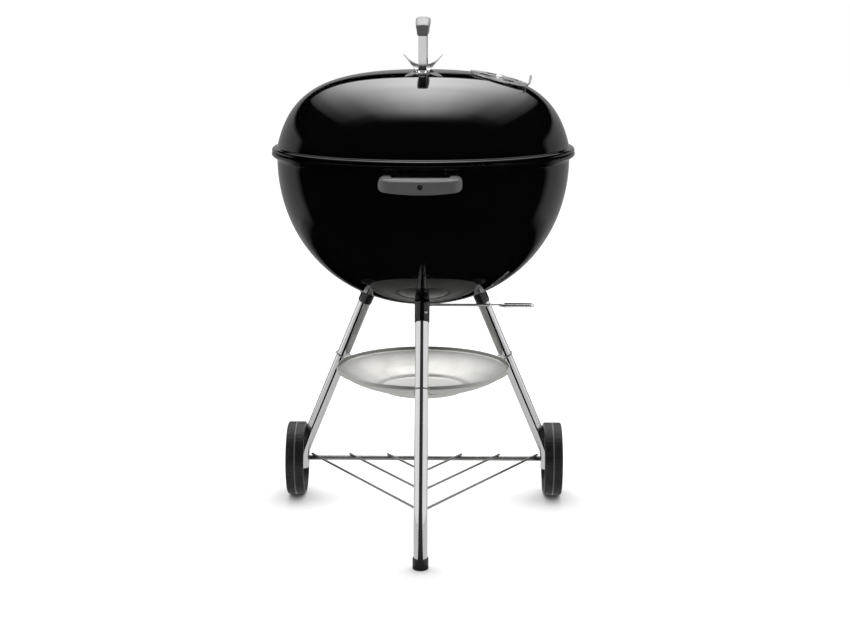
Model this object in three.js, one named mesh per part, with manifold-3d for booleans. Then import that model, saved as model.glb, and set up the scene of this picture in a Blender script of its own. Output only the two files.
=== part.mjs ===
// Kettle charcoal grill: an enamelled bowl and lid on three tube legs, two of them on wheels.
// Millimetres, +Z up. The origin is on the ground under the kettle's axis. The cook stands at -Y,
// where the front leg is, and the two wheels are at the back.
import * as THREE from "three";
import { mergeVertices } from "three/addons/utils/BufferGeometryUtils.js";
import Module from "manifold-3d";

const wasm = await Module();
wasm.setup();
const { Vector2, Vector3 } = THREE;
const rad = THREE.MathUtils.degToRad;

// ---------- Driving dimensions ----------
const FIT = 0.3; // gap between pieces that touch
const RUNNING = 0.5; // gap between a piece that turns and what it turns on
const ROUND = 36; // facets round the kettle
const TUBE_FACETS = 12;

// Kettle: bowl and lid pressed from steel sheet
const SHEET = 1;
const RIM_Z = 740; // where the lid's edge meets the bowl's rim
const BOWL_R = 283.3;
const BOWL_DEPTH = 298.4;
const BOWL_WALL = 155; // how far the wall's curve is pulled straight down
const BOWL_FLOOR = 168; // how far the floor's curve is pulled straight out
const RIM_DROP = 17; // height of the flared rim
const RIM_BEAD = 5; // radius of the rolled edge
const LID_INSET = 5; // how far the lid's wall stands in from the bowl's
const LID_R = BOWL_R - LID_INSET;
const LID_RISE = 151.5;
const LID_LEAN = 26.5;
const LID_WALL = 108;
const LID_CROWN = 173.7;
const SKIRT_R = 13.3; // the lid's rounded skirt
const SKIRT_HEM = 2.6; // thickness of its hemmed edge
const VENT_IN = 44; // the bowl's three floor vents run from this far out
const VENT_OUT = 106;
const VENT_WIDTH = 22;
const HOOK_LOW = 52; // the lid hook's plate, above the rim
const HOOK_HIGH = 88;
const HOOK_REACH = 22; // how far the hook stands in from the lid's wall
const HOOK_HALF_WIDTH = 8;

// Lid damper
const DAMPER_AT = 149; // distance of its rivet from the kettle's axis
const DAMPER_TURN = -15; // its bearing round the lid, from +X
const DAMPER_R = 57;
const DAMPER_DISH = 900; // radius of its dished face
const DAMPER_SHEET = 1.5;
const DAMPER_GAP = 0.6; // running room between the damper and the lid
const AIR_HOLE_R = 11;
const AIR_HOLE_AT = 31;
const TAB_HEIGHT = 20;
const TAB_WIDTH = 18;
const RIVET_R = 4;
const RIVET_HEAD_R = 8;

// Lid handle
const GRIP_LENGTH = 176;
const GRIP_WIDTH = 28;
const GRIP_RISE = 65.5; // underside of the grip above the lid's top
const GRIP_Z = RIM_Z + LID_RISE + GRIP_RISE;
const GRIP_HEIGHT = 35.5;
const STRAP_AT = 83; // distance of each strap from the axis
const STRAP_WIDTH = 15.4;
const STRAP_SHEET = 2.5;
const STRAP_FOOT = 15;
const STRAP_SOCKET = 14; // how far a strap reaches into the grip
const SHIELD_HALF_WIDTH = 38;
const SHIELD_TONGUE = 11; // half width of the shield's ends
const SHIELD_SHEET = 1.2;
const SHIELD_LIFT = 8; // the shield's middle above the lid
const SHIELD_WING = 21; // how far its sides curl up
const BOLT_R = 2.5;
const BOLT_HEAD_R = 5;

// Bowl handles
const HANDLE_OUT = 59.7; // outer face of a bowl handle beyond the bowl's wall
const HANDLE_R = BOWL_R + HANDLE_OUT;
const HANDLE_HALF_LENGTH = 73.6;
const HANDLE_BAR = 30; // depth of the bar
const HANDLE_DROP = 45.8; // its underside below the rim
const HANDLE_Z = RIM_Z - HANDLE_DROP;
const HANDLE_HEIGHT = 27.2;
const HANDLE_ARM = 22; // width of the arms that reach back to the bowl
const BRACKET_HEIGHT = 15;
const BRACKET_SHEET = 3;
const SCREW_R = 2.5;
const SCREW_RECESS_R = 4.6;
const SCREW_RECESS_DEPTH = 8;

// Legs
const LEG_R = 12.7;
const LEG_WALL = 1.5;
const LEG_TILT = rad(25.15);
const FOOT_AT = 295.9; // distance of the upright leg ends from the kettle's axis
const KINK_Z = 89; // where the leg's two straight lines meet
const KINK_R = 90; // radius of the bend
const LEG_RISE = 20.4; // top of the legs above the bowl's lowest point
const REAR_LEG_END_Z = 56;
const SOCKET_WALL = 1.3;
const SOCKET_HANG = 13.6; // lower end of the sockets below the bowl's lowest point
const SOCKET_LENGTH = 90; // along the leg, before the bowl cuts it
const BUTTON_RISE = 1.4; // above the bowl's lowest point
const BUTTON_R = 3;
const BUTTON_TURN = rad(28); // round the leg, from its outer side
const BUTTON_PROUD = 2.5; // how far it stands out of the socket
const CAP_R = 14.7;
const CAP_HEIGHT = 21;
const CAP_FLOOR = 3;

// Wheels, axle and wire rack
const WHEEL_R = 76.2;
const WHEEL_WIDTH = 37.4;
const WHEEL_INNER = 248.6; // inner plane of a wheel from the middle
const WHEEL_RIM = 6.7;
const WHEEL_WEB = 3.5;
const WHEEL_HUB_R = 14;
const WHEEL_HUB_LENGTH = 8.5;
const WHEEL_RIBS = 8;
const AXLE_R = 5;
const HUB_CAP_R = 12;
const HUB_CAP_LENGTH = 7.2;
const WIRE_R = 2.3;
const RACK_WIRES = 3;
const RACK_TIP = 237; // the widest wire's ends from the middle
const RACK_PITCH = 79.5; // between the wires' ends along the axle
const RACK_SLOPE = 1.57; // how far a wire runs forward for each millimetre it runs in
const RACK_BEND = 14;
const RACK_PAST_AXLE = 4;

// Ash pan and its clips
const PAN_R = 171.5;
const PAN_RIM_Z = 311.8;
const PAN_SHEET = 1.5;
const PAN_BAND = 7.5; // upright band under the pan's rim
const PAN_DEPTH = 46.2;
const PAN_FLAT_R = 84;
const CLIP_WIRE_R = 1.2;
const CLIP_BITE = 22.84256; // hooked ends of the clips inside the pan's edge
const CLIP_DROP = 19.77451; // and below its rim, so that each clip is 47 long at z 312
const PAN_SLOT = 17;

// Ash sweep: blades inside the bowl, lever under it
const SPINDLE_R = 4.2;
const COLLAR_R = 22;
const COLLAR_THICK = 4;
const BLADE_OUT = 113;
const BLADE_SHEET = 1.5;
const BLADE_RISE = 0.9; // clearance over the bowl's floor
const LEVER_ROD_R = 2.8;
const LEVER_GRIP_FROM = 150;
const LEVER_GRIP_TO = 218;
const LEVER_GRIP_WIDTH = 25;

// Grates
const GRATE_RING_R = 3.2;
const GRATE_WIRE_R = 2.2;
const GRATE_BAR_R = 2.6; // cross bars below the wires
const COOKING_INSET = 13.3; // how far the cooking grate stands in from the bowl's wall
const COOKING_R = BOWL_R - COOKING_INSET;
const COOKING_DROP = 50; // below the rim
const COOKING_Z = RIM_Z - COOKING_DROP;
const LIFTER_HALF = 45; // half length of the grate's own two handles
const LIFTER_RISE = 24;
const COOKING_PITCH = 24;
const CHARCOAL_INSET = 71.3;
const CHARCOAL_R = BOWL_R - CHARCOAL_INSET;
const CHARCOAL_PITCH = 36;
const TAB_BRACKET_WIDTH = 22;
const TAB_BRACKET_LEDGE = 17;

// ---------- Materials ----------
const finish = (color, metalness, roughness) =>
  new THREE.MeshStandardMaterial({ color, metalness, roughness });
const ENAMEL = finish(0x050505, 0, 0.08);
const CHROME = finish(0xd8d8da, 1, 0.12);
const ALUMINIUM = finish(0xc9c9c4, 1, 0.35);
const ZINC = finish(0x6b6b68, 1, 0.4);
const STEEL_WIRE = finish(0x8f8f8d, 1, 0.35);
const NYLON = finish(0x5b5b5b, 0, 0.5);
const BLACK_PLASTIC = finish(0x171717, 0, 0.45);

// ---------- Making and cutting solids ----------

// A closed three.js geometry as a solid that can be joined and cut.
function solidOf(geometry) {
  const bare = geometry.clone();
  bare.deleteAttribute("normal");
  bare.deleteAttribute("uv");
  const merged = mergeVertices(bare, 1e-4);
  const index = merged.index.array;
  const triVerts = [];
  for (let i = 0; i < index.length; i += 3) {
    const [a, b, c] = [index[i], index[i + 1], index[i + 2]];
    if (a !== b && b !== c && c !== a) triVerts.push(a, b, c);
  }
  return new wasm.Manifold(
    new wasm.Mesh({
      numProp: 3,
      vertProperties: merged.attributes.position.array,
      triVerts: new Uint32Array(triVerts),
    }),
  );
}

function geometryOf(solid) {
  const { vertProperties, triVerts } = solid.getMesh();
  return new THREE.BufferGeometry()
    .setAttribute("position", new THREE.BufferAttribute(vertProperties, 3))
    .setIndex(new THREE.BufferAttribute(triVerts, 1));
}

function piece(name, solid, material) {
  const geometry = geometryOf(solid);
  geometry.computeVertexNormals();
  const mesh = new THREE.Mesh(geometry, material);
  mesh.name = name;
  return mesh;
}

const join = (...solids) => solids.reduce((all, next) => all.add(next));

// A closed (radius, height) outline turned round +Z.
function revolve(outline, facets = ROUND) {
  const area = outline.reduce((sum, p, i) => {
    const q = outline[(i + 1) % outline.length];
    return sum + p.x * q.y - q.x * p.y;
  }, 0);
  const points = area > 0 ? [...outline] : [...outline].reverse();
  if (points[0].x > 0 || points.at(-1).x > 0) points.push(points[0].clone());
  return new THREE.LatheGeometry(points, facets).rotateX(Math.PI / 2);
}

const outlineOf = (pairs) => pairs.map(([x, y]) => new Vector2(x, y));

// A round bar or cylinder from z = low to z = high.
const post = (radius, low, high, facets = 12) =>
  new THREE.CylinderGeometry(radius, radius, high - low, facets)
    .rotateX(Math.PI / 2)
    .translate(0, 0, (low + high) / 2);

const block = (x, y, z) =>
  new THREE.BoxGeometry(x[1] - x[0], y[1] - y[0], z[1] - z[0]).translate(
    (x[0] + x[1]) / 2,
    (y[0] + y[1]) / 2,
    (z[0] + z[1]) / 2,
  );

// A flat outline in X and Y, raised from z = low to z = high, with its edges rounded inwards.
function raise(shape, low, high, round = 0, curveSegments = 6) {
  return new THREE.ExtrudeGeometry(shape, {
    depth: high - low - 2 * round,
    bevelEnabled: round > 0,
    bevelSize: round,
    bevelThickness: round,
    bevelOffset: -round,
    bevelSegments: 2,
    curveSegments,
  }).translate(0, 0, low + round);
}

// A path whose steps fall on the given points, so that straight lengths take one step.
class WirePath extends THREE.Curve {
  constructor(points) {
    super();
    this.points = points;
  }
  indexAt(u) {
    return Math.round(u * (this.points.length - 1));
  }
  getPointAt(u, target = new Vector3()) {
    return target.copy(this.points[this.indexAt(u)]);
  }
  getTangentAt(u, target = new Vector3()) {
    const i = this.indexAt(u);
    const step = (j) =>
      j < 0 || j > this.points.length - 2
        ? new Vector3()
        : this.points[j + 1].clone().sub(this.points[j]).normalize();
    return target
      .copy(step(i - 1))
      .add(step(i))
      .normalize();
  }
}

// The corners of a bent wire, each rounded to the bend radius.
function bend(corners, radius, steps = 4) {
  const path = [corners[0]];
  for (let i = 1; i < corners.length - 1; i++) {
    const into = corners[i].clone().sub(corners[i - 1]).normalize();
    const out = corners[i + 1].clone().sub(corners[i]).normalize();
    const turn = into.angleTo(out);
    const inset = radius * Math.tan(turn / 2);
    const axis = into.clone().cross(out).normalize();
    const toCentre = axis.clone().cross(into).multiplyScalar(radius);
    const start = corners[i].clone().addScaledVector(into, -inset);
    const centre = start.clone().add(toCentre);
    for (let s = 0; s <= steps; s++) {
      const spoke = start.clone().sub(centre).applyAxisAngle(axis, (turn * s) / steps);
      const next = spoke.add(centre);
      if (next.distanceTo(path.at(-1)) > 0.01) path.push(next);
    }
  }
  path.push(corners.at(-1));
  return path;
}

function rod(points, radius, facets = 6) {
  const circle = new THREE.Path().absarc(0, 0, radius, 0, 2 * Math.PI);
  const section = new THREE.Shape(circle.getPoints(facets / 2).slice(0, -1));
  return new THREE.ExtrudeGeometry(section, {
    steps: points.length - 1,
    bevelEnabled: false,
    extrudePath: new WirePath(points),
  });
}

// A pipe along the points, open at both ends.
function pipe(points, radius, bore, facets = TUBE_FACETS) {
  const through = points.map((p) => p.clone());
  through[0].add(points[0].clone().sub(points[1]).setLength(1));
  through.at(-1).add(points.at(-1).clone().sub(points.at(-2)).setLength(1));
  return solidOf(rod(points, radius, facets)).subtract(solidOf(rod(through, bore, facets)));
}

// A flat line moved sideways, to the left of its own direction.
function beside(line, distance) {
  return line.map((p, i) => {
    const into = line[Math.max(i, 1)].clone().sub(line[Math.max(i - 1, 0)]).normalize();
    const j = Math.min(i + 1, line.length - 1);
    const out = line[j].clone().sub(line[j - 1]).normalize();
    const half = into.add(out).normalize();
    const stretch = half.dot(out);
    const x = p.x === 0 ? 0 : p.x - (half.y * distance) / stretch;
    return new Vector2(x, p.y + (half.x * distance) / stretch);
  });
}

// The closed outline of a sheet that follows a line.
const sheet = (line, thickness) => [...line, ...beside(line, thickness).reverse()];

function arc(centre, radius, from, to, steps) {
  return Array.from({ length: steps + 1 }, (_, i) => {
    const angle = rad(from + ((to - from) * i) / steps);
    const spoke = new Vector2(Math.cos(angle), Math.sin(angle)).multiplyScalar(radius);
    return spoke.add(centre);
  });
}

// Stands a shape made round +Z on a point, with its +Z along the given axis.
function stand(geometry, at, up, side) {
  const z = up.clone().normalize();
  const x = side.clone().addScaledVector(z, -side.dot(z)).normalize();
  const y = z.clone().cross(x);
  return geometry.applyMatrix4(new THREE.Matrix4().makeBasis(x, y, z).setPosition(at));
}

// A flat outline in (Y, Z), as thick in X as the given width.
function across(outline, width, round = 0) {
  const shape = new THREE.Shape(outline);
  const solid = raise(shape, -width / 2, width / 2, round);
  return solid.applyMatrix4(
    new THREE.Matrix4().makeBasis(
      new Vector3(0, 1, 0),
      new Vector3(0, 0, 1),
      new Vector3(1, 0, 0),
    ),
  );
}

// Height of a (radius, height) line at one radius.
function heightAt(line, radius) {
  const i = line.findIndex((p, k) => k > 0 && (p.x - radius) * (line[k - 1].x - radius) <= 0);
  const [a, b] = [line[i - 1], line[i]];
  return a.y + ((b.y - a.y) * (radius - a.x)) / (b.x - a.x);
}

// ---------- Kettle ----------
const X = new Vector3(1, 0, 0);
const Z = new Vector3(0, 0, 1);
const WALL_TOP = RIM_Z - RIM_DROP;
const BOWL_BASE = RIM_Z - BOWL_DEPTH;
const LID_FOOT = RIM_Z + SKIRT_R + 1.1;

const bezier = (...pairs) => new THREE.CubicBezierCurve(...outlineOf(pairs));
const bowlCurve = bezier(
  [BOWL_R, WALL_TOP],
  [BOWL_R, WALL_TOP - BOWL_WALL],
  [BOWL_FLOOR, BOWL_BASE],
  [0, BOWL_BASE],
);
const lidCurve = bezier(
  [LID_R, LID_FOOT],
  [LID_R - LID_LEAN, LID_FOOT + LID_WALL],
  [LID_CROWN, RIM_Z + LID_RISE],
  [0, RIM_Z + LID_RISE],
);

// How far along the curve it comes in to a radius.
function shareAt(curve, radius) {
  let [low, high] = [0, 1];
  for (let i = 0; i < 30; i++) {
    const middle = (low + high) / 2;
    if (curve.getPoint(middle).x > radius) low = middle;
    else high = middle;
  }
  return low;
}

// Points on the curve, one of them at the given share of it.
function pointsThrough(curve, share, before, after) {
  const first = Array.from({ length: before }, (_, i) => (share * i) / before);
  const rest = Array.from({ length: after + 1 }, (_, i) => share + ((1 - share) * i) / after);
  return [...first, ...rest].map((t) => curve.getPoint(t));
}

const damperShare = shareAt(lidCurve, DAMPER_AT);
const bowlLine = bowlCurve.getPoints(8);
const lidLine = pointsThrough(lidCurve, damperShare, 5, 3);

// Everything inside the bowl or the lid, grown by the given distance beyond the sheet's outside.
function inside(line, outward) {
  const moved = beside(line, line === bowlLine ? outward : -outward);
  return solidOf(revolve([...moved, new Vector2(0, moved[0].y)]));
}

function ventHole() {
  const [small, large] = [VENT_WIDTH * 0.3, VENT_WIDTH / 2];
  const shape = new THREE.Shape();
  shape.absarc(VENT_OUT - large, 0, large, rad(-85), rad(85));
  shape.absarc(VENT_IN + small, 0, small, rad(85), rad(275));
  return raise(shape, BOWL_BASE - 5, BOWL_BASE + 60, 0, 4);
}

function bowl() {
  const centre = new Vector2(BOWL_R + RIM_BEAD + 0.2, RIM_Z - FIT - RIM_BEAD);
  const bead = arc(centre, RIM_BEAD, 100, -60, 3);
  const inner = beside(bowlLine, -SHEET).reverse();
  const flare = outlineOf([
    [BOWL_R - SHEET, WALL_TOP + 1.5],
    [bead[0].x, centre.y - 4],
  ]);
  const spindleHole = post(SPINDLE_R + RUNNING, BOWL_BASE - 5, BOWL_BASE + 5);
  let shell = solidOf(revolve([...bowlLine, ...inner, ...flare, ...bead]));
  for (const turn of [-30, 90, 210]) {
    shell = shell.subtract(solidOf(ventHole().rotateZ(rad(turn))));
  }
  return shell.subtract(solidOf(spindleHole));
}

function lid() {
  const centre = new Vector2(LID_R + 0.5, RIM_Z + 0.2);
  const edge = centre.x + SKIRT_R;
  const skirt = arc(centre, SKIRT_R, 5, 80, 3);
  const within = arc(centre, SKIRT_R - SHEET, 70, 30, 1);
  const hem = outlineOf([
    [edge - SKIRT_HEM, RIM_Z + 4],
    [edge - SKIRT_HEM, RIM_Z],
    [edge - 0.5, RIM_Z],
  ]);
  const inner = beside(lidLine, SHEET).reverse();
  let shell = solidOf(revolve([...hem, ...skirt, ...lidLine, ...inner, ...within]));
  for (let i = 0; i < 4; i++) {
    const angle = rad(45 + 90 * i);
    const hole = post(AIR_HOLE_R - 1, -20, 20, 10);
    hole.translate(AIR_HOLE_AT * Math.cos(angle), AIR_HOLE_AT * Math.sin(angle), 0);
    shell = shell.subtract(solidOf(onLid(hole)));
  }
  shell = shell.subtract(solidOf(onLid(post(RIVET_R + FIT, -10, 10))));
  return shell.subtract(boltHole(0)).subtract(boltHole(180));
}

// A strap hooked on the inside of the lid, to hang it on the bowl's rim.
function lidHook() {
  const [low, high, half] = [RIM_Z + HOOK_LOW, RIM_Z + HOOK_HIGH, HOOK_HALF_WIDTH];
  const wall = LID_R - HOOK_REACH;
  const room = inside(lidLine, -SHEET - FIT);
  const plate = room
    .subtract(inside(lidLine, -SHEET - FIT - 2))
    .intersect(solidOf(block([-half, half], [0, BOWL_R], [low, high])));
  const arm = block([-half, half], [wall - 8, BOWL_R], [low, low + 2]);
  const tip = block([-half, half], [wall - 8, wall - 6], [low + 1, low + 16]);
  return join(plate, room.intersect(solidOf(arm)), solidOf(tip));
}

// ---------- Lid damper ----------
const lidSlope = lidCurve.getTangent(damperShare);
const damperUp = new Vector3(lidSlope.y, 0, -lidSlope.x);
const damperSeat = new Vector3(DAMPER_AT, 0, lidCurve.getPoint(damperShare).y);

// Moves a shape from the damper's own frame, +Z along its rivet, to its seat on the lid.
const onLid = (geometry) => stand(geometry, damperSeat, damperUp, X).rotateZ(rad(DAMPER_TURN));

function lidDamper() {
  const fall = (r) => DAMPER_GAP - (r * r) / (2 * DAMPER_DISH);
  const radii = [RIVET_R + RUNNING, DAMPER_R * 0.5, DAMPER_R];
  const line = radii.map((r) => new Vector2(r, fall(r)));
  let disc = solidOf(revolve(sheet(line, DAMPER_SHEET), 28));
  for (let i = 0; i < 4; i++) {
    const angle = rad(45 + 90 * i);
    const hole = post(AIR_HOLE_R, -20, 20, 10);
    hole.translate(AIR_HOLE_AT * Math.cos(angle), AIR_HOLE_AT * Math.sin(angle), 0);
    disc = disc.subtract(solidOf(hole));
  }
  const foot = fall(DAMPER_R) + 0.1;
  const tab = sheet(
    outlineOf([
      [DAMPER_R - 6, foot],
      [DAMPER_R, foot],
      [DAMPER_R + 1, foot + TAB_HEIGHT - 4],
      [DAMPER_R - 3, foot + TAB_HEIGHT],
    ]),
    DAMPER_SHEET,
  );
  const tabSolid = solidOf(across(tab, TAB_WIDTH).rotateZ(-Math.PI / 2));
  return solidOf(onLid(geometryOf(disc.add(tabSolid))));
}

function damperRivet() {
  const under = -SHEET - 3 * FIT; // the lid falls away round the rivet
  const over = DAMPER_GAP + DAMPER_SHEET + FIT;
  const profile = outlineOf([
    [0, under - 2],
    [RIVET_HEAD_R - 2, under - 2],
    [RIVET_HEAD_R - 2, under],
    [RIVET_R, under],
    [RIVET_R, over],
    [RIVET_HEAD_R, over],
    [RIVET_HEAD_R - 2, over + 2.4],
    [0, over + 3.2],
  ]);
  return solidOf(onLid(revolve(profile, 12)));
}

// ---------- Lid handle ----------
const BOLT_AT = STRAP_AT + STRAP_SHEET / 2 + STRAP_FOOT / 2;
const FOOT_END = STRAP_AT + STRAP_SHEET / 2 + STRAP_FOOT;

function lidHandleGrip() {
  const [end, height] = [GRIP_LENGTH / 2, GRIP_HEIGHT];
  const shape = new THREE.Shape();
  shape.moveTo(end - 7, 0);
  shape.quadraticCurveTo(end, 0, end, 7);
  shape.lineTo(end, height * 0.5);
  shape.quadraticCurveTo(end, height * 0.65, end - 9, height * 0.72);
  shape.bezierCurveTo(end * 0.55, height, end * 0.3, height, 0, height);
  shape.bezierCurveTo(-end * 0.3, height, -end * 0.55, height, 9 - end, height * 0.72);
  shape.quadraticCurveTo(-end, height * 0.65, -end, height * 0.5);
  shape.lineTo(-end, 7);
  shape.quadraticCurveTo(-end, 0, 7 - end, 0);
  shape.quadraticCurveTo(0, 5, end - 7, 0);
  let grip = solidOf(across(shape.getPoints(4), GRIP_WIDTH, 5).translate(0, 0, GRIP_Z));
  const [halfWidth, halfSheet] = [STRAP_WIDTH / 2 + FIT, STRAP_SHEET / 2 + FIT];
  for (const side of [-1, 1]) {
    const middle = side * STRAP_AT;
    const slot = block(
      [-halfWidth, halfWidth],
      [middle - halfSheet, middle + halfSheet],
      [GRIP_Z - 5, GRIP_Z + STRAP_SOCKET + FIT],
    );
    grip = grip.subtract(solidOf(slot));
  }
  return grip;
}

// Height of a strap's foot over the lid, with the shield's tongue under it.
const footZ = (y) => heightAt(lidLine, y) + SHIELD_SHEET + 2 * FIT;

function handleStrap() {
  const face = STRAP_AT - STRAP_SHEET / 2;
  const outline = outlineOf([
    [face, GRIP_Z + STRAP_SOCKET],
    [face, footZ(face)],
    [FOOT_END, footZ(FOOT_END)],
    [FOOT_END, footZ(FOOT_END) + STRAP_SHEET],
    [face + STRAP_SHEET, footZ(face) + STRAP_SHEET],
    [face + STRAP_SHEET, GRIP_Z + STRAP_SOCKET],
  ]);
  return solidOf(across(outline, STRAP_WIDTH)).subtract(boltHole(0));
}

// The lid's slope at a bolt, as an upright axis.
const boltSlope = (footZ(FOOT_END) - footZ(STRAP_AT)) / (FOOT_END - STRAP_AT);
const boltUp = new Vector3(0, -boltSlope, 1);
const boltSeat = new Vector3(0, BOLT_AT, footZ(BOLT_AT) + STRAP_SHEET);
const nutDepth = STRAP_SHEET + SHIELD_SHEET + SHEET + 3 * FIT + 0.4;
const boltHole = (turn) =>
  solidOf(stand(post(BOLT_R + FIT, -20, 20), boltSeat, boltUp, X).rotateZ(rad(turn)));

function handleBolt() {
  const profile = outlineOf([
    [0, -nutDepth - 6],
    [BOLT_R, -nutDepth - 6],
    [BOLT_R, FIT],
    [BOLT_HEAD_R, FIT],
    [BOLT_HEAD_R - 1, 2.4],
    [0, 3.2],
  ]);
  return solidOf(stand(revolve(profile, 10), boltSeat, boltUp, X));
}

function handleNut() {
  const nut = ring(BOLT_R + FIT, BOLT_HEAD_R, -nutDepth - 4.2, -nutDepth, 6);
  return solidOf(stand(geometryOf(nut), boltSeat, boltUp, X));
}

// A sheet that narrows to a tongue under each strap and curls up at its sides.
function heatShield() {
  const length = FOOT_END - 1;
  const sheetBox = new THREE.BoxGeometry(2, 2, 1, 4, 12, 1);
  const position = sheetBox.attributes.position;
  for (let i = 0; i < position.count; i++) {
    const y = position.getY(i) * length;
    const along = Math.min(Math.abs(y) / (STRAP_AT - 5), 1);
    const swell = Math.cos((along * Math.PI) / 2) ** 2;
    const share = position.getX(i);
    const width = SHIELD_TONGUE + (SHIELD_HALF_WIDTH - SHIELD_TONGUE) * swell;
    const lift = SHIELD_LIFT * swell + SHIELD_WING * swell * share ** 2;
    const level = position.getZ(i) > 0 ? SHIELD_SHEET : 0;
    position.setXYZ(i, share * width, y, heightAt(lidLine, Math.abs(y)) + FIT + lift + level);
  }
  return solidOf(sheetBox).subtract(boltHole(0)).subtract(boltHole(180));
}

// ---------- Bowl handles ----------
const HANDLE_MIDDLE = HANDLE_Z + HANDLE_HEIGHT / 2;
const HANDLE_OPENING = HANDLE_HALF_LENGTH - HANDLE_ARM;

// Made for the front: its face towards -Y.
function bowlHandle() {
  const [end, face, back] = [HANDLE_HALF_LENGTH, -HANDLE_R, -BOWL_R + 40];
  const plan = new THREE.Shape();
  plan.moveTo(-end, back);
  plan.lineTo(-end, face + 22);
  plan.quadraticCurveTo(-end, face + 2, -end + 20, face + 1);
  plan.quadraticCurveTo(0, face - 1, end - 20, face + 1);
  plan.quadraticCurveTo(end, face + 2, end, face + 22);
  plan.lineTo(end, back);
  plan.lineTo(HANDLE_OPENING, back);
  plan.lineTo(HANDLE_OPENING, face + HANDLE_BAR);
  plan.lineTo(-HANDLE_OPENING, face + HANDLE_BAR);
  plan.lineTo(-HANDLE_OPENING, back);
  const front = new THREE.Shape();
  front.moveTo(-end, HANDLE_Z + 12);
  front.quadraticCurveTo(-end, HANDLE_Z + 4, -end + 10, HANDLE_Z + 4);
  front.quadraticCurveTo(0, HANDLE_Z - 4, end - 10, HANDLE_Z + 4);
  front.quadraticCurveTo(end, HANDLE_Z + 4, end, HANDLE_Z + 12);
  front.lineTo(end, HANDLE_Z + HANDLE_HEIGHT);
  front.lineTo(-end, HANDLE_Z + HANDLE_HEIGHT);
  const body = raise(plan, HANDLE_Z - 2, HANDLE_Z + HANDLE_HEIGHT, 3, 4);
  const cross = raise(front, -10, HANDLE_R + 10, 0, 4).rotateX(Math.PI / 2);
  const screwHole = post(SCREW_R + FIT, 0, HANDLE_BAR + 10);
  const recess = post(SCREW_RECESS_R, -10, SCREW_RECESS_DEPTH);
  return solidOf(body)
    .intersect(solidOf(cross))
    .subtract(inside(bowlLine, BRACKET_SHEET + 2 * FIT))
    .subtract(solidOf(intoHandle(screwHole)))
    .subtract(solidOf(intoHandle(recess)));
}

// Points a shape's +Z into the front handle, from the middle of its face.
const intoHandle = (geometry) =>
  geometry.rotateX(-Math.PI / 2).translate(0, -HANDLE_R, HANDLE_MIDDLE);

function handleBracket() {
  const [half, sheetBack] = [HANDLE_OPENING - FIT, -HANDLE_R + HANDLE_BAR + FIT];
  const tall = [HANDLE_MIDDLE - BRACKET_HEIGHT / 2, HANDLE_MIDDLE + BRACKET_HEIGHT / 2];
  const bar = block([-half, half], [sheetBack, sheetBack + BRACKET_SHEET], tall);
  const sides = [-1, 1].map((s) => {
    const x = [s * half, s * (half - BRACKET_SHEET)].sort((a, b) => a - b);
    return solidOf(block(x, [sheetBack, -BOWL_R + 40], tall));
  });
  const feet = [-1, 1].map((s) => {
    const x = [s * (half - BRACKET_SHEET), s * (half + HANDLE_ARM - 3)].sort((a, b) => a - b);
    return inside(bowlLine, FIT + BRACKET_SHEET).intersect(
      solidOf(block(x, [-BOWL_R - 20, -BOWL_R + 40], tall)),
    );
  });
  return join(solidOf(bar), ...sides, ...feet)
    .subtract(inside(bowlLine, FIT))
    .subtract(solidOf(intoHandle(post(SCREW_R + FIT, 0, HANDLE_BAR + 10))));
}

function handleScrew() {
  const [head, tip] = [SCREW_RECESS_DEPTH - FIT, HANDLE_BAR + BRACKET_SHEET];
  const profile = outlineOf([
    [0, head - 3],
    [3, head - 3],
    [SCREW_RECESS_R - 0.5, head - 2],
    [SCREW_RECESS_R - 0.5, head],
    [SCREW_R, head],
    [SCREW_R, tip],
    [0, tip],
  ]);
  return solidOf(intoHandle(revolve(profile, 10)));
}

// ---------- Legs ----------
// Each leg is made at the front, leaning out towards -Y, and its group turns it to its place.
const LEG_TOP_Z = BOWL_BASE + LEG_RISE;
const SOCKET_END_Z = BOWL_BASE - SOCKET_HANG;
const BUTTON_Z = BOWL_BASE + BUTTON_RISE;
const legRadius = (z) => FOOT_AT - (z - KINK_Z) * Math.tan(LEG_TILT);
const onLeg = (z) => new Vector3(0, -legRadius(z), z);
const legOut = new Vector3(0, -Math.cos(LEG_TILT), Math.sin(LEG_TILT));
const AXLE_Z = WHEEL_R;
const AXLE_Y = FOOT_AT / 2;
const RACK_Z = AXLE_Z + AXLE_R + FIT + WIRE_R;
const SPINE_Z = RACK_Z - 2 * WIRE_R + 0.2;

// Moves a shape from the button's own frame, +Z along its travel outwards, to its place.
const buttonUp = legOut
  .clone()
  .multiplyScalar(Math.cos(BUTTON_TURN))
  .addScaledVector(X, Math.sin(BUTTON_TURN));
const onButton = (geometry) => stand(geometry, onLeg(BUTTON_Z), buttonUp, Z);

function leg(endZ) {
  const end = new Vector3(0, -FOOT_AT, endZ);
  const path = bend([onLeg(LEG_TOP_Z), onLeg(KINK_Z), end], KINK_R, 4);
  return pipe(path, LEG_R, LEG_R - LEG_WALL)
    .subtract(inside(bowlLine, 2 * FIT))
    .subtract(solidOf(onButton(post(BUTTON_R + FIT, 5, 2 * LEG_R, 8))));
}

function frontLeg() {
  const hole = post(WIRE_R + FIT, 0, FOOT_AT).rotateX(Math.PI / 2).translate(0, 0, SPINE_Z);
  return leg(CAP_FLOOR + FIT).subtract(solidOf(hole));
}

function rearLeg(turn) {
  return leg(REAR_LEG_END_Z).subtract(solidOf(axleRod(AXLE_R + FIT).rotateZ(rad(-turn))));
}

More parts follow.
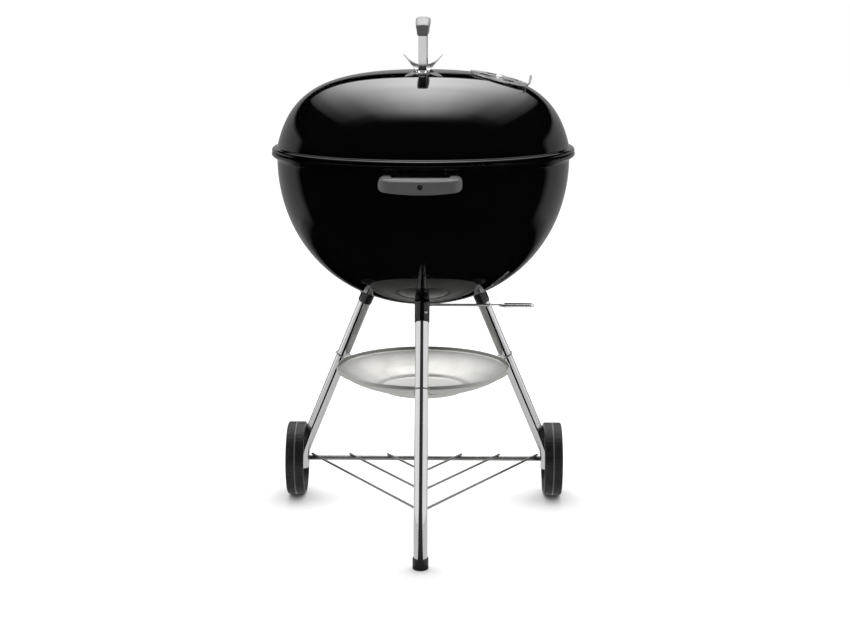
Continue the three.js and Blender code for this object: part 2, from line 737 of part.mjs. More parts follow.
function legSocket() {
  const ends = [onLeg(SOCKET_END_Z), onLeg(SOCKET_END_Z + SOCKET_LENGTH)].reverse();
  return pipe(ends, LEG_R + FIT + SOCKET_WALL, LEG_R + FIT)
    .subtract(inside(bowlLine, FIT))
    .subtract(solidOf(onButton(post(BUTTON_R + FIT, 5, 2 * LEG_R, 8))));
}

function legButton() {
  const flange = BUTTON_R + 2;
  const bore = (LEG_R - LEG_WALL) * Math.cos(Math.PI / TUBE_FACETS);
  const seat = Math.sqrt(bore ** 2 - flange ** 2) - FIT;
  const tip = LEG_R + FIT + SOCKET_WALL + BUTTON_PROUD;
  const profile = outlineOf([
    [0, seat - 1.5],
    [flange, seat - 1.5],
    [flange, seat],
    [BUTTON_R, seat],
    [BUTTON_R, tip - 1.4],
    [BUTTON_R * 0.6, tip - 0.3],
    [0, tip],
  ]);
  return solidOf(onButton(revolve(profile, 8)));
}

function footCap() {
  const bore = LEG_R + FIT;
  const profile = outlineOf([
    [0, 0],
    [CAP_R - 1.2, 0],
    [CAP_R, 1.2],
    [CAP_R, CAP_HEIGHT - 1],
    [CAP_R - 0.7, CAP_HEIGHT],
    [bore, CAP_HEIGHT],
    [bore, CAP_FLOOR],
    [0, CAP_FLOOR],
  ]);
  return solidOf(revolve(profile, TUBE_FACETS).translate(0, -FOOT_AT, 0));
}

// ---------- Wheels ----------
// A wheel's own frame: +Z along the axle, outwards, from the wheel's inner plane.
const HUB_FROM = FOOT_AT * Math.cos(rad(30)) + LEG_R + RUNNING - WHEEL_INNER;
const HUB_TO = HUB_FROM + WHEEL_HUB_LENGTH;
const WEB_FROM = HUB_FROM + (WHEEL_HUB_LENGTH - WHEEL_WEB) / 2;
const CAP_TO = HUB_TO + FIT + HUB_CAP_LENGTH;
const AXLE_END = WHEEL_INNER + CAP_TO - 1.5;

const axleRod = (radius) =>
  post(radius, -AXLE_END, AXLE_END, 8).rotateY(Math.PI / 2).translate(0, AXLE_Y, AXLE_Z);

function wheel() {
  const rimIn = WHEEL_R - WHEEL_RIM;
  const rim = outlineOf([
    [rimIn, 0],
    [WHEEL_R - 1.8, 0],
    [WHEEL_R, 1.6],
    [WHEEL_R, WHEEL_WIDTH - 1.6],
    [WHEEL_R - 1.8, WHEEL_WIDTH],
    [rimIn, WHEEL_WIDTH],
    [rimIn, WEB_FROM + WHEEL_WEB],
    [WHEEL_HUB_R - 1, WEB_FROM + WHEEL_WEB],
    [WHEEL_HUB_R - 1, WEB_FROM],
    [rimIn, WEB_FROM],
  ]);
  const rib = block(
    [WHEEL_HUB_R - 1, rimIn + 1],
    [-1.5, 1.5],
    [WEB_FROM + WHEEL_WEB / 2, WEB_FROM + WHEEL_WEB + 5],
  );
  const hub = solidOf(post(WHEEL_HUB_R, HUB_FROM, HUB_TO, 14));
  let body = solidOf(revolve(rim, 28)).add(hub);
  for (let i = 0; i < WHEEL_RIBS; i++) {
    body = body.add(solidOf(rib.clone().rotateZ((2 * Math.PI * i) / WHEEL_RIBS)));
  }
  return body.subtract(solidOf(post(AXLE_R + RUNNING, 0, WHEEL_WIDTH)));
}

function hubCap() {
  const [low, bore] = [HUB_TO + FIT, AXLE_R + FIT];
  const profile = outlineOf([
    [bore, low],
    [HUB_CAP_R, low],
    [HUB_CAP_R, CAP_TO - 3.5],
    [HUB_CAP_R - 3, CAP_TO - 0.8],
    [0, CAP_TO],
    [0, CAP_TO - 1.5 + FIT],
    [bore, CAP_TO - 1.5 + FIT],
  ]);
  return solidOf(revolve(profile, 12));
}

// Turns a wheel or a hub cap to face out at the right (1) or the left (-1).
function onAxle(mesh, side) {
  mesh.rotation.y = (side * Math.PI) / 2;
  mesh.position.set(side * WHEEL_INNER, AXLE_Y, AXLE_Z);
  return mesh;
}

// ---------- Wire rack ----------
function bottomRack() {
  const back = AXLE_Y + RACK_PAST_AXLE;
  const wires = Array.from({ length: RACK_WIRES }, (_, i) => {
    const tip = RACK_TIP - i * RACK_PITCH;
    const corners = [
      new Vector3(-tip, back, RACK_Z),
      new Vector3(0, back - tip * RACK_SLOPE, RACK_Z),
      new Vector3(tip, back, RACK_Z),
    ];
    return solidOf(rod(bend(corners, RACK_BEND, 4), WIRE_R));
  });
  const innermost = back - (RACK_TIP - (RACK_WIRES - 1) * RACK_PITCH) * RACK_SLOPE;
  const spine = rod(
    [
      new Vector3(0, innermost + RACK_BEND + 6, SPINE_Z),
      new Vector3(0, -FOOT_AT + LEG_R - 6, SPINE_Z),
    ],
    WIRE_R,
  );
  return join(...wires, solidOf(spine));
}

// ---------- Ash pan ----------
// A clip's wire: round the leg's outer side, then in and down to the pan's wall.
const clipReach = (legRadius(PAN_RIM_Z - CLIP_DROP) - PAN_R + CLIP_BITE) * Math.cos(LEG_TILT);
const clipZ = PAN_RIM_Z - CLIP_DROP + clipReach * Math.sin(LEG_TILT);

function clipWire(radius) {
  const bow = LEG_R + CLIP_WIRE_R + FIT;
  const at = (lateral, out) =>
    onLeg(clipZ).addScaledVector(X, lateral).addScaledVector(legOut, out);
  const corners = [at(-bow, -clipReach), at(-bow, bow), at(bow, bow), at(bow, -clipReach)];
  return rod(bend(corners, bow - 0.01, 5), radius);
}

function ashPan() {
  const wall = new THREE.QuadraticBezierCurve(
    ...outlineOf([
      [PAN_R - 4.5, -PAN_BAND],
      [PAN_R - 27.2, -0.57 * PAN_DEPTH],
      [PAN_FLAT_R + 10.5, -0.86 * PAN_DEPTH],
    ]),
  ).getPoints(3);
  const line = [new Vector2(PAN_R, 0), new Vector2(PAN_R, -PAN_BAND + 0.8), ...wall];
  line.push(new Vector2(PAN_FLAT_R, -PAN_DEPTH), new Vector2(0, -PAN_DEPTH));
  const profile = sheet(line, -PAN_SHEET).map((p) => new Vector2(p.x, p.y + PAN_RIM_Z));
  let pan = solidOf(revolve(profile));
  const from = LEG_R + FIT;
  const slot = block([from, from + PAN_SLOT], [-6, 26], [-1.6, 1.6]).rotateX(-LEG_TILT);
  const hooked = onLeg(clipZ).addScaledVector(legOut, -clipReach + 10);
  slot.translate(hooked.x, hooked.y, hooked.z);
  for (const turn of Object.values(LEG_TURNS)) {
    const cut = solidOf(clipWire(CLIP_WIRE_R + FIT).rotateZ(rad(turn)));
    pan = pan.subtract(cut).subtract(solidOf(slot.clone().rotateZ(rad(turn))));
  }
  return pan;
}

// ---------- Ash sweep and its lever ----------
const COLLAR_TOP = BOWL_BASE - FIT;
const COLLAR_LOW = COLLAR_TOP - COLLAR_THICK;
const LEVER_TOP = COLLAR_LOW - FIT;
const LEVER_Z = LEVER_TOP - LEVER_ROD_R;
const LEVER_LOW = LEVER_Z - LEVER_ROD_R;
const NUT_R = SPINDLE_R + 3.3;
const BLADE_TOP = heightAt(beside(bowlLine, -SHEET - BLADE_RISE - BLADE_SHEET), NUT_R);

function sweepSpindle() {
  const low = LEVER_LOW - 4.5;
  const profile = outlineOf([
    [0, low],
    [SPINDLE_R, low],
    [SPINDLE_R, COLLAR_LOW],
    [COLLAR_R - 1.5, COLLAR_LOW],
    [COLLAR_R, COLLAR_LOW + 1.5],
    [COLLAR_R, COLLAR_TOP],
    [SPINDLE_R, COLLAR_TOP],
    [SPINDLE_R, BLADE_TOP + 8],
    [0, BLADE_TOP + 8],
  ]);
  return solidOf(revolve(profile, 12));
}

function sweepBlades() {
  const low = beside(bowlLine, -SHEET - BLADE_RISE);
  const outline = sheet(low.slice(-6), -BLADE_SHEET);
  const reach = BLADE_OUT;
  let star = solidOf(post(COLLAR_R, BOWL_BASE, BOWL_BASE + 60, 16));
  for (const turn of [30, 150, 270]) {
    const shape = new THREE.Shape();
    shape.moveTo(0, -13);
    shape.quadraticCurveTo(reach * 0.5, -24, reach - 3, -13);
    shape.quadraticCurveTo(reach + 3, 0, reach, 16);
    shape.quadraticCurveTo(reach * 0.5, 12, 0, 13);
    const blade = raise(shape, BOWL_BASE, BOWL_BASE + 60, 0, 4).rotateZ(rad(turn));
    star = star.add(solidOf(blade));
  }
  return solidOf(revolve(outline))
    .intersect(star)
    .subtract(solidOf(post(SPINDLE_R + FIT, BOWL_BASE, BOWL_BASE + 60)));
}

function ring(inner, outer, low, high, facets) {
  return solidOf(post(outer, low, high, facets)).subtract(
    solidOf(post(inner, low - 1, high + 1)),
  );
}

const sweepNut = () =>
  ring(SPINDLE_R + FIT, NUT_R, BLADE_TOP + FIT, BLADE_TOP + FIT + 5, 6);
const leverClip = () =>
  ring(SPINDLE_R + FIT, SPINDLE_R + 3.4, LEVER_LOW - FIT - 1.5, LEVER_LOW - FIT, 12);

function ventLever() {
  const half = LEVER_GRIP_WIDTH / 2 - LEVER_ROD_R;
  const far = LEVER_GRIP_TO - LEVER_ROD_R;
  const neck = new Vector3(LEVER_GRIP_FROM, 0, LEVER_Z);
  const corners = [
    neck.clone().setX(LEVER_GRIP_FROM - 2),
    new Vector3(LEVER_GRIP_FROM + 9, -half, LEVER_Z),
    new Vector3(far, -half, LEVER_Z),
    new Vector3(far, half, LEVER_Z),
    new Vector3(LEVER_GRIP_FROM + 9, half, LEVER_Z),
    neck.clone().setX(LEVER_GRIP_FROM - 2),
  ];
  const loop = bend(corners, 6, 3);
  const straight = [new Vector3(7, 0, LEVER_Z), neck.clone()];
  const flat = block(
    [LEVER_GRIP_FROM - 20, LEVER_GRIP_FROM],
    [-4.5, 4.5],
    [LEVER_Z - 1.6, LEVER_Z + 1.6],
  );
  const half1 = rod(loop.slice(0, Math.ceil(loop.length / 2) + 1), LEVER_ROD_R);
  const half2 = rod(loop.slice(Math.ceil(loop.length / 2) - 1), LEVER_ROD_R);
  return join(
    solidOf(post(10.5, LEVER_LOW, LEVER_TOP, 16)),
    solidOf(rod(straight, LEVER_ROD_R)),
    solidOf(flat),
    solidOf(half1),
    solidOf(half2),
  ).subtract(solidOf(post(SPINDLE_R + FIT, LEVER_LOW - 5, LEVER_TOP + 5)));
}

// ---------- Grates ----------
const BAR_INSET = 2; // from the middle of the ring to a cross bar's end
const BAR_DROP = GRATE_WIRE_R + GRATE_BAR_R + 0.1; // the cross bars below the ring

function grate(radius, pitch, z) {
  const count = Math.floor((radius - 10) / pitch);
  const bars = [new THREE.TorusGeometry(radius, GRATE_RING_R, 6, ROUND).translate(0, 0, z)];
  for (let i = -count; i <= count; i++) {
    const half = Math.sqrt(radius ** 2 - (i * pitch) ** 2);
    const ends = [new Vector3(i * pitch, -half, z), new Vector3(i * pitch, half, z)];
    bars.push(rod(ends, GRATE_WIRE_R, 5));
  }
  for (const y of [-radius * 0.4, radius * 0.4]) {
    const half = Math.sqrt((radius - BAR_INSET) ** 2 - y ** 2);
    const ends = [-half, half].map((x) => new Vector3(x, y, z - BAR_DROP));
    bars.push(rod(ends, GRATE_BAR_R, 6));
  }
  return join(...bars.map(solidOf));
}

// One of the cooking grate's two wire handles, welded on its ring; made on the +X side.
function grateHandle() {
  const foot = Math.sqrt(COOKING_R ** 2 - LIFTER_HALF ** 2);
  const [low, high] = [COOKING_Z + GRATE_RING_R + FIT, COOKING_Z + LIFTER_RISE];
  const corners = [
    new Vector3(foot, -LIFTER_HALF, low),
    new Vector3(foot - 5, -LIFTER_HALF, high),
    new Vector3(foot - 5, LIFTER_HALF, high),
    new Vector3(foot, LIFTER_HALF, low),
  ];
  return solidOf(rod(bend(corners, 10, 3), GRATE_RING_R, 6));
}

// The cross bars' ends lie on the bowl where it has narrowed to them.
function charcoalGrate() {
  const ringSeat = heightAt(beside(bowlLine, -SHEET - FIT - GRATE_RING_R), CHARCOAL_R);
  const barEnd = CHARCOAL_R - BAR_INSET + 1.2;
  const barSeat = heightAt(beside(bowlLine, -SHEET - FIT), barEnd) + GRATE_BAR_R;
  return grate(CHARCOAL_R, CHARCOAL_PITCH, Math.max(ringSeat, barSeat + BAR_DROP));
}

// A bent tab on the bowl's wall that carries the cooking grate; made on the +X side.
function grateTab() {
  const low = COOKING_Z - GRATE_RING_R - FIT - 2;
  const half = TAB_BRACKET_WIDTH / 2;
  const room = inside(bowlLine, -SHEET - FIT);
  const plate = room
    .subtract(inside(bowlLine, -SHEET - FIT - 2))
    .intersect(solidOf(block([BOWL_R - 40, BOWL_R], [-half, half], [low - 18, low + 2])));
  const ledge = block([BOWL_R - TAB_BRACKET_LEDGE, BOWL_R], [-half, half], [low, low + 2]);
  return plate.add(room.intersect(solidOf(ledge)));
}

// ---------- Assembly ----------
const LEG_TURNS = { front: 0, right: 120, left: -120 };

function group(name, ...members) {
  const made = new THREE.Group();
  made.name = name;
  made.add(...members);
  return made;
}

function turned(object, degrees) {
  object.rotation.z = rad(degrees);
  return object;
}

const lidGroup = group(
  "lid_assembly",
  piece("lid", lid(), ENAMEL),
  piece("lid_hook", lidHook(), ZINC),
  piece("lid_damper", lidDamper(), ALUMINIUM),
  piece("damper_rivet", damperRivet(), ALUMINIUM),
  piece("heat_shield", heatShield(), CHROME),
  piece("lid_handle_grip", lidHandleGrip(), NYLON),
  ...["rear", "front"].map((end, i) =>
    turned(
      group(
        `${end}_handle_post`,
        piece(`${end}_handle_strap`, handleStrap(), CHROME),
        piece(`${end}_strap_bolt`, handleBolt(), CHROME),
        piece(`${end}_strap_nut`, handleNut(), ZINC),
      ),
      180 * i,
    ),
  ),
);

const bowlGroup = group(
  "bowl_assembly",
  piece("bowl", bowl(), ENAMEL),
  ...[30, 150, 270].map((turn, i) =>
    turned(piece(`grate_tab_${i + 1}`, grateTab(), ZINC), turn),
  ),
  ...["front", "rear"].map((end, i) =>
    turned(
      group(
        `${end}_bowl_handle`,
        piece(`${end}_handle`, bowlHandle(), NYLON),
        piece(`${end}_handle_bracket`, handleBracket(), ZINC),
        piece(`${end}_handle_screw`, handleScrew(), ZINC),
      ),
      180 * i,
    ),
  ),
);

const sweepGroup = group(
  "ash_sweep",
  piece("sweep_spindle", sweepSpindle(), ZINC),
  piece("sweep_blades", sweepBlades(), ALUMINIUM),
  piece("sweep_nut", sweepNut(), ZINC),
  piece("vent_lever", ventLever(), CHROME),
  piece("lever_clip", leverClip(), ZINC),
);

const legGroups = Object.entries(LEG_TURNS).map(([place, turn]) =>
  turned(
    group(
      `${place}_leg_assembly`,
      piece(`${place}_leg`, place === "front" ? frontLeg() : rearLeg(turn), CHROME),
      piece(`${place}_leg_socket`, legSocket(), ENAMEL),
      piece(`${place}_leg_button`, legButton(), CHROME),
      piece(`${place}_pan_clip`, solidOf(clipWire(CLIP_WIRE_R)), STEEL_WIRE),
    ),
    turn,
  ),
);

const wheelGroup = group(
  "wheels",
  piece("axle", solidOf(axleRod(AXLE_R)), ZINC),
  ...Object.entries({ left: -1, right: 1 }).flatMap(([place, side]) => [
    onAxle(piece(`${place}_wheel`, wheel(), BLACK_PLASTIC), side),
    onAxle(piece(`${place}_hub_cap`, hubCap(), BLACK_PLASTIC), side),
  ]),
);

const grill = group(
  "kettle_grill",
  bowlGroup,
  lidGroup,
  sweepGroup,
  group(
    "grates",
    piece("charcoal_grate", charcoalGrate(), STEEL_WIRE),
    piece("cooking_grate", grate(COOKING_R, COOKING_PITCH, COOKING_Z), STEEL_WIRE),
    ...["right", "left"].map((end, i) =>
      turned(piece(`${end}_grate_handle`, grateHandle(), STEEL_WIRE), 180 * i),
    ),
  ),
  ...legGroups,
  piece("front_foot", footCap(), BLACK_PLASTIC),
  wheelGroup,
  piece("bottom_rack", bottomRack(), STEEL_WIRE),
  piece("ash_pan", ashPan(), ALUMINIUM),
);

export default grill;
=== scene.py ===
# %% [markdown]
# # A kettle charcoal grill
# An enamelled bowl and lid stand on three chromed tube legs, two of them on wheels. The solid model
# is loaded first as a fixed frame, and every piece made here is fitted to it and moves with it.
# The solids are coarse, so most pieces that show are made again in finer mesh on the same measures.

# %% Load the frame
from functools import reduce
from math import atan2, cos, degrees, pi, radians, sin, sqrt, tan

import bmesh
import bpy
from mathutils import Matrix, Vector


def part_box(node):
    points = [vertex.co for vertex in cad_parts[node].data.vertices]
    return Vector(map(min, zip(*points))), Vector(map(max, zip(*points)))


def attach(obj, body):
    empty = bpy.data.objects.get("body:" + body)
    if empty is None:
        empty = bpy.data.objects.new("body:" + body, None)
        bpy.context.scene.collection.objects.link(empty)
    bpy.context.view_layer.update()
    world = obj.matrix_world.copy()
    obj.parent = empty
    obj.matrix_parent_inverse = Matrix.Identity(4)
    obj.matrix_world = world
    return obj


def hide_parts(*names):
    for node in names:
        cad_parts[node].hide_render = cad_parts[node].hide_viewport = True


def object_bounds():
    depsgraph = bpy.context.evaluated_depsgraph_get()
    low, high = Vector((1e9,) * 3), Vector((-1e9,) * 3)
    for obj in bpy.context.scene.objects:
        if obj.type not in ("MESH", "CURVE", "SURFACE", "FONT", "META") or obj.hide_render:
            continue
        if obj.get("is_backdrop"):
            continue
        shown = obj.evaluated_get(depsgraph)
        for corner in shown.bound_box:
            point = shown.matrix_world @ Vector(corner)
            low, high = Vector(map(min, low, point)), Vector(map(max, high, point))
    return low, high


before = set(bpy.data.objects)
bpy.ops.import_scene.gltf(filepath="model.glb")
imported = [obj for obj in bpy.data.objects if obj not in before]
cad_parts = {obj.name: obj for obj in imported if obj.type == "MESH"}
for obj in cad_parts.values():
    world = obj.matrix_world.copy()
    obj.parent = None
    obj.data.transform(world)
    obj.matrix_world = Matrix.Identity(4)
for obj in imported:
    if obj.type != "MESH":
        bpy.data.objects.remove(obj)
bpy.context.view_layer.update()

# %% [markdown]
# ## Camera
# The grill is seen a little from above, from about three metres in front of its axis. A long lens
# keeps the wheels nearly square on. Aiming the camera by its own angles, and not with a constraint,
# keeps the view exact.

# %% The camera
STAND_OFF = 3.02343
EYE_HEIGHT = 1.03828
ROUND_TO_RIGHT = radians(1.0)
LOOK_DOWN = radians(11.488)
LENS = 66.43
FRAMING = 0.0020

camera_data = bpy.data.cameras.new("camera")
camera_data.lens = LENS
camera_data.sensor_width = 36.0
camera_data.shift_x = FRAMING
camera_data.clip_end = 60.0
camera = bpy.data.objects.new("camera", camera_data)
camera.location = (STAND_OFF * sin(ROUND_TO_RIGHT), -STAND_OFF * cos(ROUND_TO_RIGHT), EYE_HEIGHT)
camera.rotation_euler = (pi / 2 - LOOK_DOWN, 0.0, ROUND_TO_RIGHT)
bpy.context.scene.collection.objects.link(camera)
bpy.context.scene.camera = camera
bpy.context.scene.view_settings.view_transform = "Standard"
print("camera height", EYE_HEIGHT, "lens", LENS)

# %% [markdown]
# ## Making meshes
# Most of a grill is spun sheet, bent tube and bent wire, so three helpers carry the work: one turns
# an outline round the axis, one sweeps a circle along a path, one raises a flat outline. They
# measure in millimetres, as a workshop drawing does, and the mesh is made in metres at the end.

# %% Outlines and paths
MM = 0.001
ON_AXIS = 1e-6


def curve(*pulls, steps):
    """Points on a curve from the first to the last of three or four points. Those between pull."""
    weights = (1, 2, 1) if len(pulls) == 3 else (1, 3, 3, 1)
    last = len(pulls) - 1
    points = []
    for i in range(steps + 1):
        t = i / steps
        shares = [w * (1 - t) ** (last - n) * t**n for n, w in enumerate(weights)]
        points.append(tuple(sum(s * p[axis] for s, p in zip(shares, pulls)) for axis in (0, 1)))
    return points


def curved_on(line, *bends, steps=10):
    """Carries a line on by curves. A bend is a pair: the point that pulls, and the end."""
    for pull, end in bends:
        line = line + curve(line[-1], pull, end, steps=steps)[1:]
    return line


def arc(centre, radius, start, end, steps):
    """Points on an arc between two angles in degrees."""
    turn = [radians(start + (end - start) * i / steps) for i in range(steps + 1)]
    return [(centre[0] + radius * cos(a), centre[1] + radius * sin(a)) for a in turn]


def dome(radius, low, rise):
    """Half of a low round head, from its edge up to the axis."""
    turn = [radians(a) for a in range(0, 90, 10)]
    return [(radius * cos(a), low + rise * sin(a)) for a in turn] + [(0, low + rise)]


def beside(line, distance):
    """The flat line moved sideways, to the left of its own direction."""
    shifted = []
    for i, point in enumerate(line):
        here = Vector(point)
        into = (Vector(line[max(i, 1)]) - Vector(line[max(i, 1) - 1])).normalized()
        last = min(i + 1, len(line) - 1)
        out = (Vector(line[last]) - Vector(line[last - 1])).normalized()
        half = (into + out).normalized()
        step = Vector((-half.y, half.x)) * (distance / half.dot(out))
        x = 0.0 if abs(here.x) < ON_AXIS else here.x + step.x
        shifted.append((x, here.y + step.y))
    return shifted


def rounded(corners, radius, steps=8):
    """The corners of a bent wire or tube, each rounded to the bend radius."""
    corners = [Vector(c) for c in corners]
    path = [corners[0]]
    for before, corner, after in zip(corners, corners[1:], corners[2:]):
        into = (corner - before).normalized()
        out = (after - corner).normalized()
        turn = into.angle(out)
        start = corner - into * (radius * tan(turn / 2))
        axis = into.cross(out).normalized()
        centre = start + axis.cross(into) * radius
        for i in range(steps + 1):
            path.append(centre + Matrix.Rotation(turn * i / steps, 3, axis) @ (start - centre))
    path.append(corners[-1])
    return path


quarter_turn = arc((0, 0), 10, 0, 90, 2)
print("a quarter of a 10 mm arc:", [tuple(round(v, 1) for v in p) for p in quarter_turn])


# %% Forms: points and faces before they become a mesh
def lathe(outline, around=160):
    """A closed (radius, height) outline turned round +Z. An outline that starts and ends on the
    axis closes there."""
    closed = outline[0][0] < ON_AXIS and outline[-1][0] < ON_AXIS
    points, rows = [], []
    for radius, height in outline:
        count = 1 if radius < ON_AXIS else around
        rows.append([len(points) + i % count for i in range(around)])
        for i in range(count):
            turn = 2 * pi * i / around
            points.append(Vector((radius * cos(turn), radius * sin(turn), height)))
    faces = []
    for low, high in list(zip(rows, rows[1:])) + ([] if closed else [(rows[-1], rows[0])]):
        for i in range(around):
            j = (i + 1) % around
            ring = list(dict.fromkeys((low[i], low[j], high[j], high[i])))
            if len(ring) > 2:
                faces.append(ring)
    return points, faces


def between_rings(rings, around):
    """Faces between rings that follow each other, each with the same number of points."""
    faces = []
    for a in range(0, (rings - 1) * around, around):
        for i in range(around):
            j = (i + 1) % around
            faces.append([a + i, a + j, a + around + j, a + around + i])
    return faces


def swept(path, radius, sides=20, nose=0.0):
    """A round bar along a path. Its ends are cut square, with a small rounding of size nose."""
    path = [Vector(p) for p in path]
    last = len(path) - 1
    along = [(path[min(i + 1, last)] - path[max(i - 1, 0)]).normalized() for i in range(last + 1)]
    rings = [(p, t, radius) for p, t in zip(path, along)]
    if nose:
        (start, into, _), (stop, out, _) = rings[0], rings[-1]
        tip = [(0.0, radius - nose), (0.3 * nose, radius - 0.3 * nose), (nose, radius)]
        rings = ([(start + into * far, into, size) for far, size in tip] + rings[1:-1]
                 + [(stop - out * far, out, size) for far, size in reversed(tip)])
    up = along[0].orthogonal().normalized()
    points = []
    for centre, tangent, size in rings:
        up = (up - tangent * up.dot(tangent)).normalized()
        side = tangent.cross(up)
        for i in range(sides):
            turn = 2 * pi * i / sides
            points.append(centre + (up * cos(turn) + side * sin(turn)) * size)
    ends = [list(range(sides))[::-1], list(range(len(points) - sides, len(points)))]
    return points, between_rings(len(rings), sides) + ends


def pipe(path, radius, bore, sides=32):
    """A tube with a wall, open at both ends."""
    outer, inner = swept(path, radius, sides), swept(path, bore, sides)
    count = len(outer[0])
    faces = outer[1][:-2] + [[count + i for i in reversed(f)] for f in inner[1][:-2]]
    for start, flip in ((0, True), (count - sides, False)):
        for i in range(sides):
            j = (i + 1) % sides
            ring = [start + i, start + j, count + start + j, count + start + i]
            faces.append(ring[::-1] if flip else ring)
    return outer[0] + inner[0], faces


def raised(outline, low, high):
    """A flat outline in X and Y, raised from low to high."""
    count = len(outline)
    points = [Vector((x, y, z)) for z in (low, high) for x, y in outline]
    ends = [list(range(count))[::-1], list(range(count, 2 * count))]
    return points, ends + between_rings(2, count)


def skin(grid, thickness):
    """A sheet of metal over a grid of points: rows of the same length, thickened along +Z."""
    rows, columns = len(grid), len(grid[0])
    low = [p for row in grid for p in row]
    points = low + [p + Vector((0, 0, thickness)) for p in low]
    count = len(low)
    faces = []
    for a in (r * columns + c for r in range(rows - 1) for c in range(columns - 1)):
        ring = [a, a + 1, a + columns + 1, a + columns]
        faces += [ring[::-1], [count + i for i in ring]]
    edge = list(range(columns)) + [r * columns + columns - 1 for r in range(1, rows)]
    edge += [(rows - 1) * columns + c for c in range(columns - 2, -1, -1)]
    edge += [r * columns for r in range(rows - 2, 0, -1)]
    faces += [[a, b, count + b, count + a] for a, b in zip(edge, edge[1:] + edge[:1])]
    return points, faces


print("a lathed ring has", len(lathe([(5, 0), (6, 0), (6, 1), (5, 1)], 12)[1]), "faces")


# %% Placing and joining forms
def moved(form, matrix):
    return [matrix @ p for p in form[0]], form[1]


def together(*forms):
    points, faces = [], []
    for form in forms:
        start = len(points)
        points += form[0]
        faces += [[start + i for i in face] for face in form[1]]
    return points, faces


def turn_z(angle):
    return Matrix.Rotation(radians(angle), 4, "Z")


def shift(x, y, z):
    return Matrix.Translation((x, y, z))


def on_edge(form, side=1):
    """Stands a raised outline on edge: its X runs along Y, its Y runs up, its thickness along X."""
    return [Vector((p.z, side * p.x, p.y)) for p in form[0]], form[1]


def drill(radius, x=0.0, y=0.0, low=-20.0, high=20.0):
    """An upright round tool for a hole."""
    return moved(lathe([(0, low), (radius, low), (radius, high), (0, high)], 40), shift(x, y, 0))


print("a drill has", len(drill(3)[0]), "points")

# %% From a form to an object
made = {}


def build(name, form, smooth=40):
    """One mesh object from a form in millimetres, with its faces outward."""
    mesh = bpy.data.meshes.new(name)
    mesh.from_pydata([p * MM for p in form[0]], [], form[1])
    work = bmesh.new()
    work.from_mesh(mesh)
    bmesh.ops.remove_doubles(work, verts=work.verts, dist=1e-7)
    bmesh.ops.recalc_face_normals(work, faces=work.faces)
    work.to_mesh(mesh)
    work.free()
    thing = bpy.data.objects.new(name, mesh)
    bpy.context.scene.collection.objects.link(thing)
    shade(thing, smooth)
    return thing


def shade(thing, smooth):
    """Smooth shading, with a crisp line where faces meet at more than the given angle."""
    for face in thing.data.polygons:
        face.use_smooth = True
    thing.data.set_sharp_from_angle(angle=radians(smooth))


def settle(thing, smooth=40):
    """Turns an object with modifiers into a plain mesh."""
    graph = bpy.context.evaluated_depsgraph_get()
    mesh = bpy.data.meshes.new_from_object(thing.evaluated_get(graph))
    thing.modifiers.clear()
    old = thing.data
    thing.data = mesh
    bpy.data.meshes.remove(old)
    mesh.name = thing.name
    shade(thing, smooth)
    return thing


def cut(thing, *forms, keep="DIFFERENCE", smooth=40):
    """Cuts closed forms out of an object, or keeps only what they share."""
    tools = []
    for i, form in enumerate(forms):
        tool = build(f"tool_{i}", form)
        step = thing.modifiers.new(f"cut_{i}", "BOOLEAN")
        step.operation = keep
        step.solver = "EXACT"
        step.object = tool
        tools.append(tool)
    settle(thing, smooth)
    for tool in tools:
        bpy.data.objects.remove(tool)
    return thing


def ease_edges(thing, width, steps, smooth, sharper_than=30):
    """Rounds the edges that are sharper than an angle, as a tumbling drum does."""
    soft = thing.modifiers.new("edge", "BEVEL")
    soft.width, soft.segments, soft.limit_method = width * MM, steps, "ANGLE"
    soft.angle_limit = radians(sharper_than)
    return settle(thing, smooth)


def mould(thing, grain, rounds, smooth=70):
    """Melts an assembly of plain solids into one soft-edged moulding."""
    melt = thing.modifiers.new("melt", "REMESH")
    melt.mode = "VOXEL"
    melt.voxel_size = grain * MM
    soften = thing.modifiers.new("soften", "SMOOTH")
    soften.factor = 0.5
    soften.iterations = rounds
    return settle(thing, smooth)


def place(thing, body, slot, finish, *nodes):
    """Gives a finished piece its material, its body and the solids that it stands for. The slot argument
    is not used.
    """
    thing.data.materials.clear()
    thing.data.materials.append(finish)
    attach(thing, body)
    if nodes:
        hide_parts(*nodes)
    made[thing.name] = len(thing.data.polygons)
    return thing


# %% [markdown]
# ## Finishes
# The grill wears glassy black enamel, chrome plate, satin steel, zinc plate, satin and spun
# aluminium, and two moulded plastics. None is one flat colour. Two effects return in all of them,
# so each is a node group: the marks that hands and cloths leave on a polished surface, and the fine
# grain that a mould or a drawing die leaves.


# %% Helpers for node trees
def feed(target, *inputs, **named):
    """Fills a node's inputs, by place or by name, with values or with other nodes' outputs. A name
    that is the node's own, such as operation, sets that first."""
    for key in [k for k in named if hasattr(target, k)]:
        setattr(target, key, named.pop(key))
    for key, value in [*enumerate(inputs), *named.items()]:
        socket = target.inputs[key.replace("_", " ") if isinstance(key, str) else key]
        if isinstance(value, bpy.types.Node):
            value = value.outputs[0]
        if isinstance(value, bpy.types.NodeSocket):
            target.id_data.links.new(value, socket)
        else:
            socket.default_value = value
    return target


def node(tree, kind, *inputs, **named):
    return feed(tree.nodes.new(kind), *inputs, **named)


def maths(tree, operation, *inputs):
    return node(tree, "ShaderNodeMath", *inputs, operation=operation)


